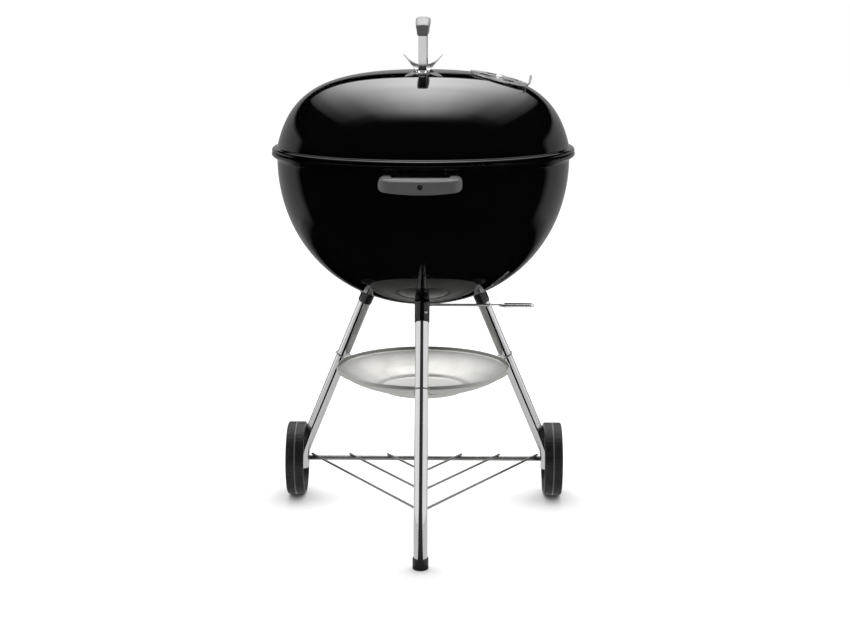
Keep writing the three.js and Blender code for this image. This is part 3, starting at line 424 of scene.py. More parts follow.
def new_tree(name, kind, takes, gives):
    """An empty node tree with named sockets, and what it is given. A socket has a kind, or a number
    where it is a plain number that starts there."""
    tree = bpy.data.node_groups.new(name, kind)
    for way, sockets in (("INPUT", takes), ("OUTPUT", gives)):
        for title, sort in sockets.items():
            number = not isinstance(sort, str)
            full_sort = "NodeSocketFloat" if number else f"NodeSocket{sort}"
            socket = tree.interface.new_socket(title, in_out=way, socket_type=full_sort)
            if number:
                socket.default_value = sort
    return tree, tree.nodes.new("NodeGroupInput").outputs


# %% Node group: marks left by handling
def handling_marks():
    """Cloudy smears and hair scratches. Puts out Smear and Scratch, each from 0 to 1."""
    takes = {"Vector": "Vector", "Smear Scale": 9.0, "Scratch Scale": 60.0}
    gives = {"Smear": "Float", "Scratch": "Float"}
    tree, given = new_tree("handling marks", "ShaderNodeTree", takes, gives)
    clouds = node(tree, "ShaderNodeTexNoise", Vector=given["Vector"], Scale=given["Smear Scale"],
                  Detail=4.0, Roughness=0.62, Distortion=0.8)
    stretched = node(tree, "ShaderNodeMapping", given["Vector"],
                     Rotation=(0.4, 0.9, 0.6), Scale=(1.0, 14.0, 3.0))
    hairs = node(tree, "ShaderNodeTexNoise", Vector=stretched, Scale=given["Scratch Scale"],
                 Detail=2.0, Roughness=0.5)
    soft = node(tree, "ShaderNodeMapRange", clouds, From_Min=0.38, From_Max=0.72,
                interpolation_type="SMOOTHSTEP")
    thin = node(tree, "ShaderNodeMapRange", hairs, From_Min=0.66, From_Max=0.74,
                interpolation_type="SMOOTHSTEP")
    node(tree, "NodeGroupOutput", Smear=soft, Scratch=thin)
    return tree


# %% Node group: fine grain
def fine_grain():
    """The texture of a mould or a blasted surface. Puts out Height and Tone."""
    takes = {"Vector": "Vector", "Grain Scale": 1500.0, "Patch Scale": 30.0}
    gives = {"Height": "Float", "Tone": "Float"}
    tree, given = new_tree("fine grain", "ShaderNodeTree", takes, gives)
    where, fine = given["Vector"], given["Grain Scale"]
    grain = node(tree, "ShaderNodeTexNoise", Vector=where, Scale=fine, Detail=3.0, Roughness=0.7)
    pits = node(tree, "ShaderNodeTexVoronoi", Vector=where, Scale=fine, feature="F1")
    tone = node(tree, "ShaderNodeTexNoise", Vector=where, Scale=given["Patch Scale"],
                Detail=5.0, Roughness=0.55)
    height = maths(tree, "MULTIPLY_ADD", pits, 0.5, grain)
    node(tree, "NodeGroupOutput", Height=height, Tone=tone)
    return tree


MARKS = handling_marks()
GRAIN = fine_grain()
print("node groups:", [g.name for g in (MARKS, GRAIN)])


# %% A finish: shader, colours and the two groups
def finish(name, dark, light, rough, metallic=0.0, bump=0.0, grain=1500.0, patch=30.0, smear=9.0,
           scratch=60.0):
    """A material whose colour drifts between two tones and whose gloss varies over the surface.
    rough is for clean, smeared and scratched places, and bump is a height in metres."""
    material = bpy.data.materials.new(name)
    material.use_nodes = True
    tree = material.node_tree
    where = node(tree, "ShaderNodeTexCoord").outputs["Object"]
    marks = node(tree, "ShaderNodeGroup", where, node_tree=MARKS, Smear_Scale=smear,
                 Scratch_Scale=scratch)
    fine = node(tree, "ShaderNodeGroup", where, node_tree=GRAIN, Grain_Scale=grain,
                Patch_Scale=patch)
    colour = node(tree, "ShaderNodeMix", fine.outputs["Tone"], data_type="RGBA")
    colour.inputs[6].default_value, colour.inputs[7].default_value = (*dark, 1), (*light, 1)
    clean, smeared, scratched = rough
    smear_part = node(tree, "ShaderNodeMapRange", marks.outputs["Smear"], To_Min=clean,
                      To_Max=smeared)
    scratch_part = node(tree, "ShaderNodeMapRange", marks.outputs["Scratch"], To_Min=0.0,
                        To_Max=scratched - smeared)
    relief = node(tree, "ShaderNodeBump", Height=fine.outputs["Height"], Distance=bump,
                  Strength=1.0 if bump else 0.0)
    feed(tree.nodes["Principled BSDF"], Base_Color=colour.outputs[2], Normal=relief,
         Roughness=maths(tree, "ADD", smear_part, scratch_part), Metallic=metallic, IOR=1.5)
    return material


ENAMEL = finish("black_enamel", (0.0015,) * 3, (0.0035, 0.0034, 0.0036), (0.035, 0.06, 0.09),
                bump=0.000004, grain=260.0, patch=6.0, smear=5.0)
CHROME = finish("chrome_plate", (0.70, 0.70, 0.71), (0.80, 0.80, 0.805), (0.09, 0.15, 0.22),
                metallic=1.0, bump=0.000003, grain=500.0, smear=22.0, scratch=120.0)
ZINC = finish("zinc_plate", (0.20, 0.20, 0.197), (0.32, 0.318, 0.312), (0.32, 0.48, 0.55),
              metallic=1.0, bump=0.00002, grain=700.0, patch=60.0, smear=40.0)
STEEL = finish("satin_steel", (0.60, 0.60, 0.60), (0.70, 0.70, 0.70), (0.16, 0.21, 0.3),
               metallic=1.0, bump=0.0000006, grain=700.0, smear=26.0, scratch=130.0)
WIRE = finish("plated_wire", (0.22, 0.22, 0.218), (0.32, 0.317, 0.31), (0.3, 0.42, 0.5),
              metallic=1.0, bump=0.00002, grain=800.0, patch=45.0, smear=40.0)
NYLON = finish("grey_nylon", (0.105, 0.106, 0.107), (0.135, 0.135, 0.136), (0.4, 0.5, 0.58),
               bump=0.000006, grain=1300.0, patch=24.0, smear=14.0)
PLASTIC = finish("black_plastic", (0.010, 0.010, 0.0105), (0.018, 0.018, 0.0185),
                 (0.38, 0.5, 0.58), bump=0.00002, grain=1100.0, patch=18.0, smear=12.0)
# The raised line round the tread is given a lighter plastic than the rest of the wheel.
RIDGE_PLASTIC = finish("lighter_ridge_plastic", (0.08, 0.08, 0.08), (0.12, 0.12, 0.12), (0.3, 0.4, 0.5),
                bump=0.00001, grain=900.0, patch=30.0, smear=30.0)
DISC_METAL = finish("satin_aluminium", (0.46, 0.46, 0.455), (0.58, 0.58, 0.575),
                    (0.2, 0.28, 0.36), metallic=1.0, bump=0.000002, grain=900.0, smear=30.0,
                    scratch=150.0)
PAN_METAL = finish("spun_aluminium", (0.47, 0.467, 0.445), (0.56, 0.556, 0.532),
                   (0.42, 0.54, 0.62), metallic=1.0, grain=900.0, patch=12.0, smear=10.0)
print("finishes:", [m.name for m in bpy.data.materials if not m.users])

# %% Rings that spinning leaves: a one-way noise on the distance from the axis
tree = PAN_METAL.node_tree
flat = node(tree, "ShaderNodeMapping", node(tree, "ShaderNodeTexCoord").outputs["Object"],
            Scale=(1, 1, 0))
from_axis = node(tree, "ShaderNodeVectorMath", flat, operation="LENGTH").outputs["Value"]
rings = node(tree, "ShaderNodeTexNoise", noise_dimensions="1D", W=from_axis, Scale=900.0,
             Detail=4.0, Roughness=0.75)
relief = node(tree, "ShaderNodeBump", Height=rings, Distance=0.00006, Strength=0.6)
feed(tree.nodes["Principled BSDF"], Normal=relief)
print("nodes in the spun finish:", len(tree.nodes))

# %% [markdown]
# ## Bowl
# The bowl is pressed from steel sheet: a deep round dish whose edge flares and rolls over into a
# bead. A squashed ball with a Solidify modifier would be quicker, but its rim would have no bead.
# So one outline, with both faces of the sheet in it, is turned round the axis. The three air vents
# and the hole for the sweep's spindle are cut afterwards, as a press would punch them.

# %% Measures of the kettle
RIM_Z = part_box("lid")[0].z / MM
BOWL_BASE = RIM_Z - 298.4
BOWL_R = 283.3
LID_R = BOWL_R - 5.0
LID_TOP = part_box("lid")[1].z / MM
SHEET = 1.0
AROUND = 224
print("rim at", round(RIM_Z, 1), "bowl's floor", round(BOWL_BASE, 1), "lid's top", round(LID_TOP, 1))

# %% The bowl
WALL_R = BOWL_R - 2.9
FLOOR_PULL = 168.5
bowl_line = curve((WALL_R, RIM_Z - 17), (WALL_R, RIM_Z - 172), (FLOOR_PULL, BOWL_BASE),
                  (0, BOWL_BASE), steps=56)
bead = arc((BOWL_R + 2.8, RIM_Z - 5.3), 4.8, 100, -65, 18)
neck = [(WALL_R + 4.2, RIM_Z - 12.4), (WALL_R + 1.5, RIM_Z - 14.0), (WALL_R + 0.3, RIM_Z - 15.8)]
inner_wall = beside(bowl_line, -SHEET)
flare = [(WALL_R - SHEET, RIM_Z - 15.5), (WALL_R + 0.6, RIM_Z - 12.2), (BOWL_R + 2.3, RIM_Z - 7.0)]
outline = bowl_line[::-1] + neck[::-1] + bead[::-1] + flare[::-1] + inner_wall
bowl = build("bowl_shell", lathe(outline, AROUND))


def vent(turn):
    """A drop-shaped air vent, narrow towards the middle."""
    edge = arc((95, 0), 11, -85, 85, 16) + arc((50.6, 0), 6.6, 85, 275, 12)
    return moved(raised(edge, BOWL_BASE - 8, BOWL_BASE + 60), turn_z(turn))


hole_r, hole_low, hole_high = 4.7, BOWL_BASE - 6, BOWL_BASE + 6
spindle_hole = lathe([(0, hole_low), (hole_r, hole_low), (hole_r, hole_high), (0, hole_high)], 32)
cut(bowl, vent(-30), vent(90), vent(210), spindle_hole)
place(bowl, "base", "enamel", ENAMEL, "bowl")
print("bowl faces:", made["bowl_shell"])

# %% [markdown]
# ## Lid
# The lid is a second pressing. Its edge turns out over the bowl's bead in a rounded skirt with a
# folded hem, which keeps rain out. That edge could be a ring added below a dome. It is carried on
# bend by bend in the dome's own outline, so that no seam lies between them. The lid has four air
# holes in a ring under the damper, one hole for the damper's rivet and two for the handle's bolts.

# %% The lid and the damper's seat
lid_line = curve((LID_R + 0.3, RIM_Z + 13.6), (252.0, RIM_Z + 122.4), (172.5, LID_TOP),
                 (0, LID_TOP), steps=64)


def bend_out(start, turns):
    """Carries an outline on from a point by turns of (radius, slope before, slope after). A slope
    is how far the face leans back from upright, and a length in brackets is a straight piece."""
    (r, z), line = start, [start]
    for size, before, after in turns:
        a, b = radians(before), radians(after)
        if isinstance(size, tuple):
            line.append((r + size[0] * sin(a), z - size[0] * cos(a)))
        else:
            way = size if b > a else -size
            for i in range(1, 9):
                t = a + (b - a) * i / 8
                line.append((r + way * (cos(a) - cos(t)), z - way * (sin(t) - sin(a))))
        r, z = line[-1]
    return line


brim = bend_out((LID_R + 0.8, RIM_Z + 9.6), [(3.0, 8, 86), ((3.5,), 86, 86), (5.4, 86, -6)])
lid_outside = brim[::-1] + lid_line
lid_inside = beside(lid_outside, SHEET)
lid = build("lid_shell", lathe(lid_outside + lid_inside[::-1], AROUND))


def height_at(line, radius):
    for (xa, ya), (xb, yb) in zip(line, line[1:]):
        if min(xa, xb) <= radius <= max(xa, xb):
            return ya + (yb - ya) * (radius - xa) / (xb - xa)
    return line[-1][1]


DAMPER_AT, DAMPER_TURN = 149.0, -15.0
here, near = height_at(lid_line, DAMPER_AT), height_at(lid_line, DAMPER_AT - 1)
lean = atan2(near - here, 1.0)
on_lid = turn_z(DAMPER_TURN) @ shift(DAMPER_AT, 0, here) @ Matrix.Rotation(lean, 4, "Y")
AIR_HOLES_R = 31


def air_holes(radius):
    quarters = [radians(45 + 90 * i) for i in range(4)]
    drills = [drill(radius, AIR_HOLES_R * cos(a), AIR_HOLES_R * sin(a)) for a in quarters]
    return [moved(tool, on_lid) for tool in drills]


STRAP_AT, STRAP_SHEET, STRAP_FOOT = 83.0, 2.5, 15.0
BOLT_AT = STRAP_AT + STRAP_SHEET / 2 + STRAP_FOOT / 2
BOLT_HOLE_R = 2.8


def bolt_hole(side, above=20):
    return drill(BOLT_HOLE_R, 0, side * BOLT_AT, LID_TOP - 30, LID_TOP + above)


cut(lid, *air_holes(10.0), moved(drill(4.3), on_lid), bolt_hole(-1, 10), bolt_hole(1, 10))
place(lid, "lid_body", "enamel", ENAMEL, "lid")
print("damper leans", round(degrees(lean), 2), "degrees; lid faces:", made["lid_shell"])

# %% [markdown]
# ## Lid damper
# A slightly dished aluminium disc turns on a rivet and covers the lid's air holes. A tab stands up
# at its edge for a finger. They could be modelled on the slope, but it is simpler to make both
# level and to lean them onto the dome with one matrix. They are stamped in one, so they share one
# finish.

# %% The damper, its tab and its rivet
DISC_R, DISC_SHEET, DISC_GAP, DISC_HOLE = 57.0, 1.5, 0.6, 4.5


def disc_fall(r):
    return DISC_GAP - r * r / 1800.0


disc_radii = [DISC_HOLE + (DISC_R - DISC_HOLE) * i / 16 for i in range(17)]
disc_line = [(r, disc_fall(r)) for r in disc_radii]
disc_top = beside(disc_line, DISC_SHEET)
damper = build("damper_disc", moved(lathe(disc_line + disc_top[::-1], 120), on_lid))
cut(damper, *air_holes(11.0))
TAB_HALF, TAB_RISE = 9.0, 20.0
tab_rows = []
# The tab leaves the disc's edge, turns up, leans out a little and bends back at its tip.
for i in range(13):
    t = i / 12
    out = DISC_R - 5 + 5.6 * min(1, t * 2.4) + 1.6 * t - 1.4 * max(0, t - 0.8) / 0.2
    up = disc_fall(DISC_R) + 0.2 + max(0.0, (t - 0.22) / 0.78) * TAB_RISE
    half = TAB_HALF * (1 - 0.22 * max(0.0, t - 0.3) ** 2)
    tab_rows.append([Vector((out, -half + 2 * half * k / 10, up)) for k in range(11)])
tab = build("damper_tab", skin(tab_rows, 0.01))
thicken = tab.modifiers.new("wall", "SOLIDIFY")
thicken.thickness, thicken.offset = DISC_SHEET * MM, 0.0
settle(tab)
tab.data.transform(shift(*(v * MM for v in on_lid.translation)) @ on_lid.to_3x3().to_4x4())
place(damper, "damper", "aluminium", DISC_METAL, "lid_damper")
place(tab, "damper", "aluminium", DISC_METAL)
over = DISC_GAP + DISC_SHEET + 0.3
shank = [(0, -3.9), (6, -3.9), (6, -1.9), (4, -1.9), (4, over), (8, over)]
rivet = build("damper_rivet_head", moved(lathe(shank + dome(8, over, 3.2), 40), on_lid))
place(rivet, "lid_body", "aluminium", DISC_METAL, "damper_rivet")
print("damper faces:", made["damper_disc"], "tab faces:", made["damper_tab"])

# %% [markdown]
# ## Lid handle
# A moulded nylon grip runs front to back over two flat steel straps, and a thin steel heat shield
# under it curls up at both sides to keep the heat off the hand. A bevelled box would give the grip
# the same section all along. It is lofted instead from its own cross section, which is widest high
# up and narrows to its underside, and the strap is one bent line with a thickness.

# %% The grip
GRIP_Z, GRIP_END = LID_TOP + 65.5, 88.0
END_ROUND = 4.5
GRIP_SIDE = [(9.0, 0.0), (11.2, 0.08), (11.8, 0.3), (12.3, 0.5), (13.2, 0.64), (14.0, 0.78),
             (13.6, 0.9), (10.5, 0.975), (5.0, 1.0)]


def grip_ring(y):
    """The grip's outline where it is cut across at y, from pairs of half width and share of the
    height. It is smaller over the rounding at each end."""
    share = min(abs(y) / GRIP_END, 1.0)
    size = 1.0 - 0.16 * max(0.0, (abs(y) - GRIP_END + END_ROUND) / END_ROUND) ** 2
    top = 34.2 - 13.4 * max(0.0, (share - 0.12) / 0.88) ** 2.0
    low = 1.6 * (1 - share**2)
    taper = 1 - 0.12 * (y / GRIP_END) ** 2
    right = [(x * size * taper, low + (top - low) * h) for x, h in GRIP_SIDE]
    ring = right + [(-x, z) for x, z in reversed(right)]
    middle, squeeze = (top + low) / 2, 0.55 + 0.45 * size
    return [Vector((x, y, GRIP_Z + middle + (z - middle) * squeeze)) for x, z in ring]


end_cuts = [83.5, 86, 87.4, 88]
stations = [-y for y in reversed(end_cuts)] + [-80 + 5 * i for i in range(33)] + end_cuts
points = [p for y in stations for p in grip_ring(y)]
count = 2 * len(GRIP_SIDE)
ends = [list(range(count)), list(range(len(points) - count, len(points)))]
grip = mould(build("lid_grip", (points, between_rings(len(stations), count) + ends)), 0.9, 3)
SLOT_HALF = 1.55
slots = []
for y in (-STRAP_AT, STRAP_AT):
    square = [(-8, y - SLOT_HALF), (8, y - SLOT_HALF), (8, y + SLOT_HALF), (-8, y + SLOT_HALF)]
    slots.append(raised(square, GRIP_Z - 5, GRIP_Z + 14.3))
cut(grip, *slots, smooth=60)
place(grip, "lid_body", "nylon", NYLON, "lid_handle_grip")
print("grip faces:", made["lid_grip"])


# %% The straps and their bolts
def foot_height(y):
    return height_at(lid_line, abs(y)) + 1.8


FOOT_Z = foot_height(STRAP_AT + 8) + STRAP_SHEET / 2
BEND_HEIGHT, BEND_OUT, FOOT_END = 22, 7.0, 16.2
strap_line = curved_on([(STRAP_AT, GRIP_Z + 14.0), (STRAP_AT, FOOT_Z + BEND_HEIGHT)],
                       ((STRAP_AT, FOOT_Z), (STRAP_AT + BEND_OUT, FOOT_Z)), steps=12)
strap_line.append((STRAP_AT + FOOT_END, foot_height(STRAP_AT + FOOT_END) + STRAP_SHEET / 2))
profile = beside(strap_line, STRAP_SHEET / 2) + beside(strap_line, -STRAP_SHEET / 2)[::-1]
BOLT = [(0, -12), (2.5, -12), (2.5, 0.3), (5, 0.3)] + dome(5.0, 0.9, 2.3)
FOOT_SLOPE = atan2(foot_height(99) - foot_height(84), 99 - 84)
for side, end in ((-1, "front"), (1, "rear")):
    piece = build(f"{end}_grip_strap", on_edge(raised(profile, -7.7, 7.7), side))
    ease_edges(piece, 0.5, 3, 12)
    cut(piece, bolt_hole(side), smooth=12)
    place(piece, "lid_body", "chrome", STEEL, f"{end}_handle_strap")
    seat = shift(0, side * BOLT_AT, foot_height(BOLT_AT) + STRAP_SHEET)
    seat = seat @ Matrix.Rotation(side * FOOT_SLOPE, 4, "X")
    piece = build(f"{end}_strap_screw", moved(lathe(BOLT, 32), seat))
    place(piece, "lid_body", "chrome", ZINC, f"{end}_strap_bolt")
print("strap faces:", made["front_grip_strap"])


# %% The heat shield
def shield_point(across, along):
    """A point of the shield: both shares run from -1 to 1."""
    y = along * (BOLT_AT + STRAP_FOOT / 2 - 1)
    swell = cos(min(abs(y) / (STRAP_AT - 5), 1.0) * pi / 2) ** 2
    width = 11 + 27 * swell
    lift = 8 * swell + 21 * swell * across**2
    return Vector((across * width, y, height_at(lid_line, abs(y)) + 0.3 + lift))


grid = [[shield_point(-1 + i / 16, -1 + j / 36) for i in range(33)] for j in range(73)]
shield = ease_edges(build("heat_deflector", skin(grid, 1.2)), 0.35, 2, 50, sharper_than=50)
cut(shield, bolt_hole(-1), bolt_hole(1))
place(shield, "lid_body", "chrome", STEEL, "heat_shield")
print("heat shield faces:", made["heat_deflector"])

# %% [markdown]
# ## Bowl handles
# Two nylon handles of a C shape are screwed to steel brackets that are welded to the bowl. Seen
# from above and from the front they have two different outlines, so one is raised through the
# other and only what they share is kept. A moulding has no sharp edges, so that solid is then
# remeshed and smoothed, which rounds all its edges and corners at once.

# %% The outlines of a bowl handle, seen from above and from the front
HANDLE_R = -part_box("front_handle")[0].y / MM
HANDLE_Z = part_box("front_handle")[0].z / MM
HANDLE_MID = HANDLE_Z + 13.6
HANDLE_TOP = HANDLE_Z + 27.2
HANDLE_END = 73.6


def handle_plan():
    end, face, back, opening, bend = HANDLE_END, -HANDLE_R, -BOWL_R + 40, 51.6, 6
    line = curved_on([(-end, back), (-end, face + 22)],
                     ((-end, face + 2), (-end + 20, face + 1)), ((0, face - 1), (end - 20, face + 1)),
                     ((end, face + 2), (end, face + 22)))
    line += [(end, back), (opening, back), (opening, face + 36)]
    line += arc((opening - bend, face + 36), bend, 0, -90, 6)
    return line + arc((-opening + bend, face + 36), bend, -90, -180, 6) + [(-opening, back)]


def handle_front():
    end, low, top, nose = HANDLE_END, HANDLE_Z + 4, HANDLE_TOP, 14.0
    waist = (low + top) / 2
    line = curved_on([(-end, waist)], ((-end, low), (-end + nose, low)),
                     ((0, low - 8), (end - nose, low)), ((end, low), (end, waist)),
                     ((end, top), (end - nose, top)))
    return curved_on(line + [(-end + nose, top)], ((-end, top), (-end, waist)))


def bowl_core(grow):
    """The room inside the bowl's outer face, grown by the given distance."""
    grown_line = beside(bowl_line, grow)[:-1]
    return lathe([(0, bowl_line[0][1])] + grown_line + [(0, BOWL_BASE - grow)], 96)


print("points round a handle:", len(handle_plan()), "from above,", len(handle_front()), "in front")

# %% The two bowl handles and their screws
CHAMFER_LOW, CHAMFER_TOP = HANDLE_Z + 23.0, HANDLE_Z + 28.0
chamfer = [(-HANDLE_R - 4, CHAMFER_LOW), (-HANDLE_R + 1, CHAMFER_LOW),
           (-HANDLE_R + 6, CHAMFER_TOP), (-HANDLE_R - 4, CHAMFER_TOP)]
SCREW = [(0, 4.7), (2.2, 4.7), (2.8, 5.2), (3.9, 5.6), (4.1, 6.2), (4.1, 7.7), (2.5, 7.7),
         (2.5, 33), (0, 33)]
to_front = shift(0, -HANDLE_R, HANDLE_MID) @ Matrix.Rotation(-pi / 2, 4, "X")
for turn, end in ((0, "front"), (180, "rear")):
    piece = build(f"{end}_bowl_grip", raised(handle_plan(), HANDLE_Z - 2, HANDLE_TOP))
    points, faces = raised(handle_front(), -10, HANDLE_R + 10)
    front_solid = [Vector((p.x, -p.z, p.y)) for p in points], faces
    cut(piece, front_solid, keep="INTERSECT")
    cut(piece, bowl_core(0.6), on_edge(raised(chamfer, -90, 90)))
    mould(piece, 0.9, 9)
    head_room, screw_hole = drill(4.6, low=-10, high=8), drill(2.8, low=0, high=40)
    cut(piece, moved(head_room, to_front), moved(screw_hole, to_front), smooth=60)
    piece.data.transform(turn_z(turn))
    place(piece, "base", "nylon", NYLON, f"{end}_handle")
    piece = build(f"{end}_grip_screw", moved(lathe(SCREW, 28), to_front))
    piece.data.transform(turn_z(turn))
    place(piece, "base", "zinc", ZINC, f"{end}_handle_screw")
print("handle faces:", made["front_bowl_grip"])

# %% [markdown]
# ## Legs
# Each leg is a chromed tube with one soft bend above the ground, so that its lower end stands
# upright. The front leg wears a plastic cap, and the rear two hold the axle. Their tops plug into
# enamelled sockets welded under the bowl, where a sprung button holds each one. The rear legs are
# made in the front leg's place and then turned a third of the way round, so that one lean and one
# bend serve all three. Only the lower end and the hole across it differ.

# %% Leg measures
FOOT_AT = 295.9
TILT = radians(25.15)
KINK_Z, KINK_R = 89.0, 90.0
LEG_R, LEG_BORE = 12.7, 11.2
SOCKET_R, SOCKET_BORE, SOCKET_LENGTH = 14.3, 13.0, 90.0
BUTTON_TURN, BUTTON_TIP = radians(28), 16.8
AXLE_Y, AXLE_Z = FOOT_AT / 2, 76.2
RACK_HOLE_Z = 79.2
TURNS = {"front": 0, "right": 120, "left": -120}
leg_out = Vector((0, -cos(TILT), sin(TILT)))


def on_leg(z):
    """The middle of the front leg at a height, before its group is turned."""
    return Vector((0, -(FOOT_AT - (z - KINK_Z) * tan(TILT)), z))


def stood(at, up, side=Vector((0, 0, 1))):
    """Stands a form made round +Z on a point, with its +Z along the given axis."""
    z = up.normalized()
    x = (side - z * side.dot(z)).normalized()
    y = z.cross(x)
    return Matrix.Translation(at) @ Matrix((x, y, z)).transposed().to_4x4()


button_up = leg_out * cos(BUTTON_TURN) + Vector((1, 0, 0)) * sin(BUTTON_TURN)
button_at = stood(on_leg(BOWL_BASE + 1.4), button_up)
socket_low, socket_top = on_leg(BOWL_BASE - 13.6), on_leg(BOWL_BASE + 76)
socket_at = stood(socket_low, socket_top - socket_low, Vector((1, 0, 0)))
SOCKET = [(SOCKET_BORE, 0.0), (SOCKET_R - 0.4, 0.0), (SOCKET_R, 0.5), (SOCKET_R, SOCKET_LENGTH),
          (SOCKET_BORE, SOCKET_LENGTH)]
button_seat = sqrt((LEG_BORE * cos(pi / 12)) ** 2 - 5**2) - 0.3
BUTTON = [(0, button_seat - 1.5), (5, button_seat - 1.5), (5, button_seat), (3, button_seat)]
BUTTON += dome(3.0, BUTTON_TIP - 1.8, 1.8)
print("a leg meets its socket at", [round(v, 1) for v in socket_low])

# %% Legs, sockets and buttons
button_hole = moved(drill(3.3, low=5, high=26), button_at)
for side, turn in TURNS.items():
    low = 3.3 if side == "front" else 56.0
    path = rounded([on_leg(BOWL_BASE + 16), on_leg(KINK_Z), Vector((0, -FOOT_AT, low))], KINK_R, 14)
    leg = build(f"{side}_tube_leg", pipe(path, LEG_R, LEG_BORE, 40))
    if side == "front":
        at = shift(0, 0, RACK_HOLE_Z) @ Matrix.Rotation(pi / 2, 4, "X")
        cross_hole = drill(2.6, low=0, high=FOOT_AT)
    else:
        at = turn_z(-turn) @ shift(0, AXLE_Y, AXLE_Z) @ Matrix.Rotation(pi / 2, 4, "Y")
        cross_hole = drill(5.3, low=-400, high=400)
    cut(leg, button_hole, moved(cross_hole, at))
    leg.data.transform(turn_z(turn))
    place(leg, "base", "chrome", CHROME, f"{side}_leg")
    socket = build(f"{side}_socket", moved(lathe(SOCKET, 48), socket_at))
    cut(socket, bowl_core(0.3), button_hole)
    socket.data.transform(turn_z(turn))
    place(socket, "base", "enamel", ENAMEL, f"{side}_leg_socket")
    button = build(f"{side}_snap_button", moved(lathe(BUTTON, 28), button_at))
    button.data.transform(turn_z(turn))
    place(button, f"{side}_button_body", "chrome", CHROME, f"{side}_leg_button")
print("leg faces:", made["front_tube_leg"], "socket faces:", made["front_socket"])

# %% The front foot
cap = [(0, 0), (13.0, 0), (14.1, 0.4), (14.7, 1.3), (14.7, 19.4), (14.4, 20.4), (13.6, 21),
       (13.0, 21), (13.0, 3), (0, 3)]
foot_cap = build("foot_cap", moved(lathe(cap, 56), shift(0, -FOOT_AT, 0)))
place(foot_cap, "base", "black_plastic", PLASTIC, "front_foot")
print("foot cap faces:", made["foot_cap"])

# %% [markdown]
# ## Wheels
# A wheel is one plastic moulding with fine ribs across its tread and a narrow raised line round its
# middle. The ribs repeat all round, so Geometry Nodes sets them on a circle: the number, size and
# radius are the tree's named inputs. A bump pattern would be lighter, but the tread is seen edge
# on, where only real ribs break the outline.


# %% Helpers for Geometry Nodes
def dressed(tree, instances, finish_to_use):
    """Ends a tree with real geometry that wears a finish."""
    real = node(tree, "GeometryNodeRealizeInstances", instances)
    worn = node(tree, "GeometryNodeSetMaterial", real, Material=finish_to_use)
    node(tree, "NodeGroupOutput", worn)
    return tree


def grown(tree, values):
    """Runs a tree once and hands back its points and faces as a form."""
    holder = bpy.data.objects.new("holder", bpy.data.meshes.new("holder"))
    bpy.context.scene.collection.objects.link(holder)
    step = holder.modifiers.new("grow", "NODES")
    step.node_group = tree
    for socket in tree.interface.items_tree:
        if socket.name in values:
            step[socket.identifier] = values[socket.name]
    graph = bpy.context.evaluated_depsgraph_get()
    mesh = bpy.data.meshes.new_from_object(holder.evaluated_get(graph))
    form = [v.co.copy() for v in mesh.vertices], [list(p.vertices) for p in mesh.polygons]
    bpy.data.objects.remove(holder)
    return form


# %% Geometry Nodes: ribs round a tread
def rib_tree(finish_to_use):
    takes = {"Geometry": "Geometry", "Ribs": "Int", "Radius": "Float", "Rib Width": "Float",
             "Rib Length": "Float", "Rib Height": "Float"}
    tree, given = new_tree("tread ribs", "GeometryNodeTree", takes, {"Geometry": "Geometry"})
    circle = node(tree, "GeometryNodeMeshCircle", Vertices=given["Ribs"], Radius=given["Radius"])
    size = node(tree, "ShaderNodeCombineXYZ", given["Rib Height"], given["Rib Width"],
                given["Rib Length"])
    share = maths(tree, "DIVIDE", node(tree, "GeometryNodeInputIndex"), given["Ribs"])
    turn = node(tree, "ShaderNodeCombineXYZ", Z=maths(tree, "MULTIPLY", share, 2 * pi))
    ribs = node(tree, "GeometryNodeInstanceOnPoints", circle, Rotation=turn,
                Instance=node(tree, "GeometryNodeMeshCube", size))
    return dressed(tree, ribs, finish_to_use)


RIBS = rib_tree(PLASTIC)
print("inputs of the ribs:", [s.name for s in RIBS.interface.items_tree if s.in_out == "INPUT"])

# %% The wheel in its own frame: +Z along the axle, outwards, from its inner plane
WHEEL_R, WHEEL_IN = 76.15, 248.6
HUB_R, BORE_R = 14, 5.5
HUB_FROM = FOOT_AT * cos(radians(30)) + LEG_R + 0.5 - WHEEL_IN
HUB_TO = HUB_FROM + 8.5
WEB = HUB_FROM + 2.5
TREAD_R, RIM_R = 74.6, 69.5
tyre = [(RIM_R, 0.6), (70.2, 0.0), (72.8, 0.0), (74.0, 0.5), (TREAD_R, 1.8)]
tyre += [(TREAD_R, 35.6), (74.0, 36.9), (72.8, 37.4), (70.2, 37.4), (RIM_R, 36.8)]
web_face = [(RIM_R, 5.5), (68.5, 3.8), (60, 3.2), (30, 3.5), (16, 4.5), (13, 4.5)]
web_back = [(13, -1.0), (16, 0), (60, 0), (68.5, -0.6), (RIM_R, -2.2)]
tyre += [(r, WEB + z) for r, z in web_face + web_back]
hub = [(BORE_R, HUB_FROM), (HUB_R - 0.6, HUB_FROM), (HUB_R, HUB_FROM + 0.6),
       (HUB_R, HUB_TO - 0.6), (HUB_R - 0.6, HUB_TO), (BORE_R, HUB_TO)]


def spoke(turn):
    """A rib that stands on the web and tapers towards the rim."""
    line = [(13, -2.2), (69.8, -1.5), (69.8, 1.5), (13, 2.2)]
    return moved(raised(line, WEB + 2, WEB + 9), turn_z(turn))


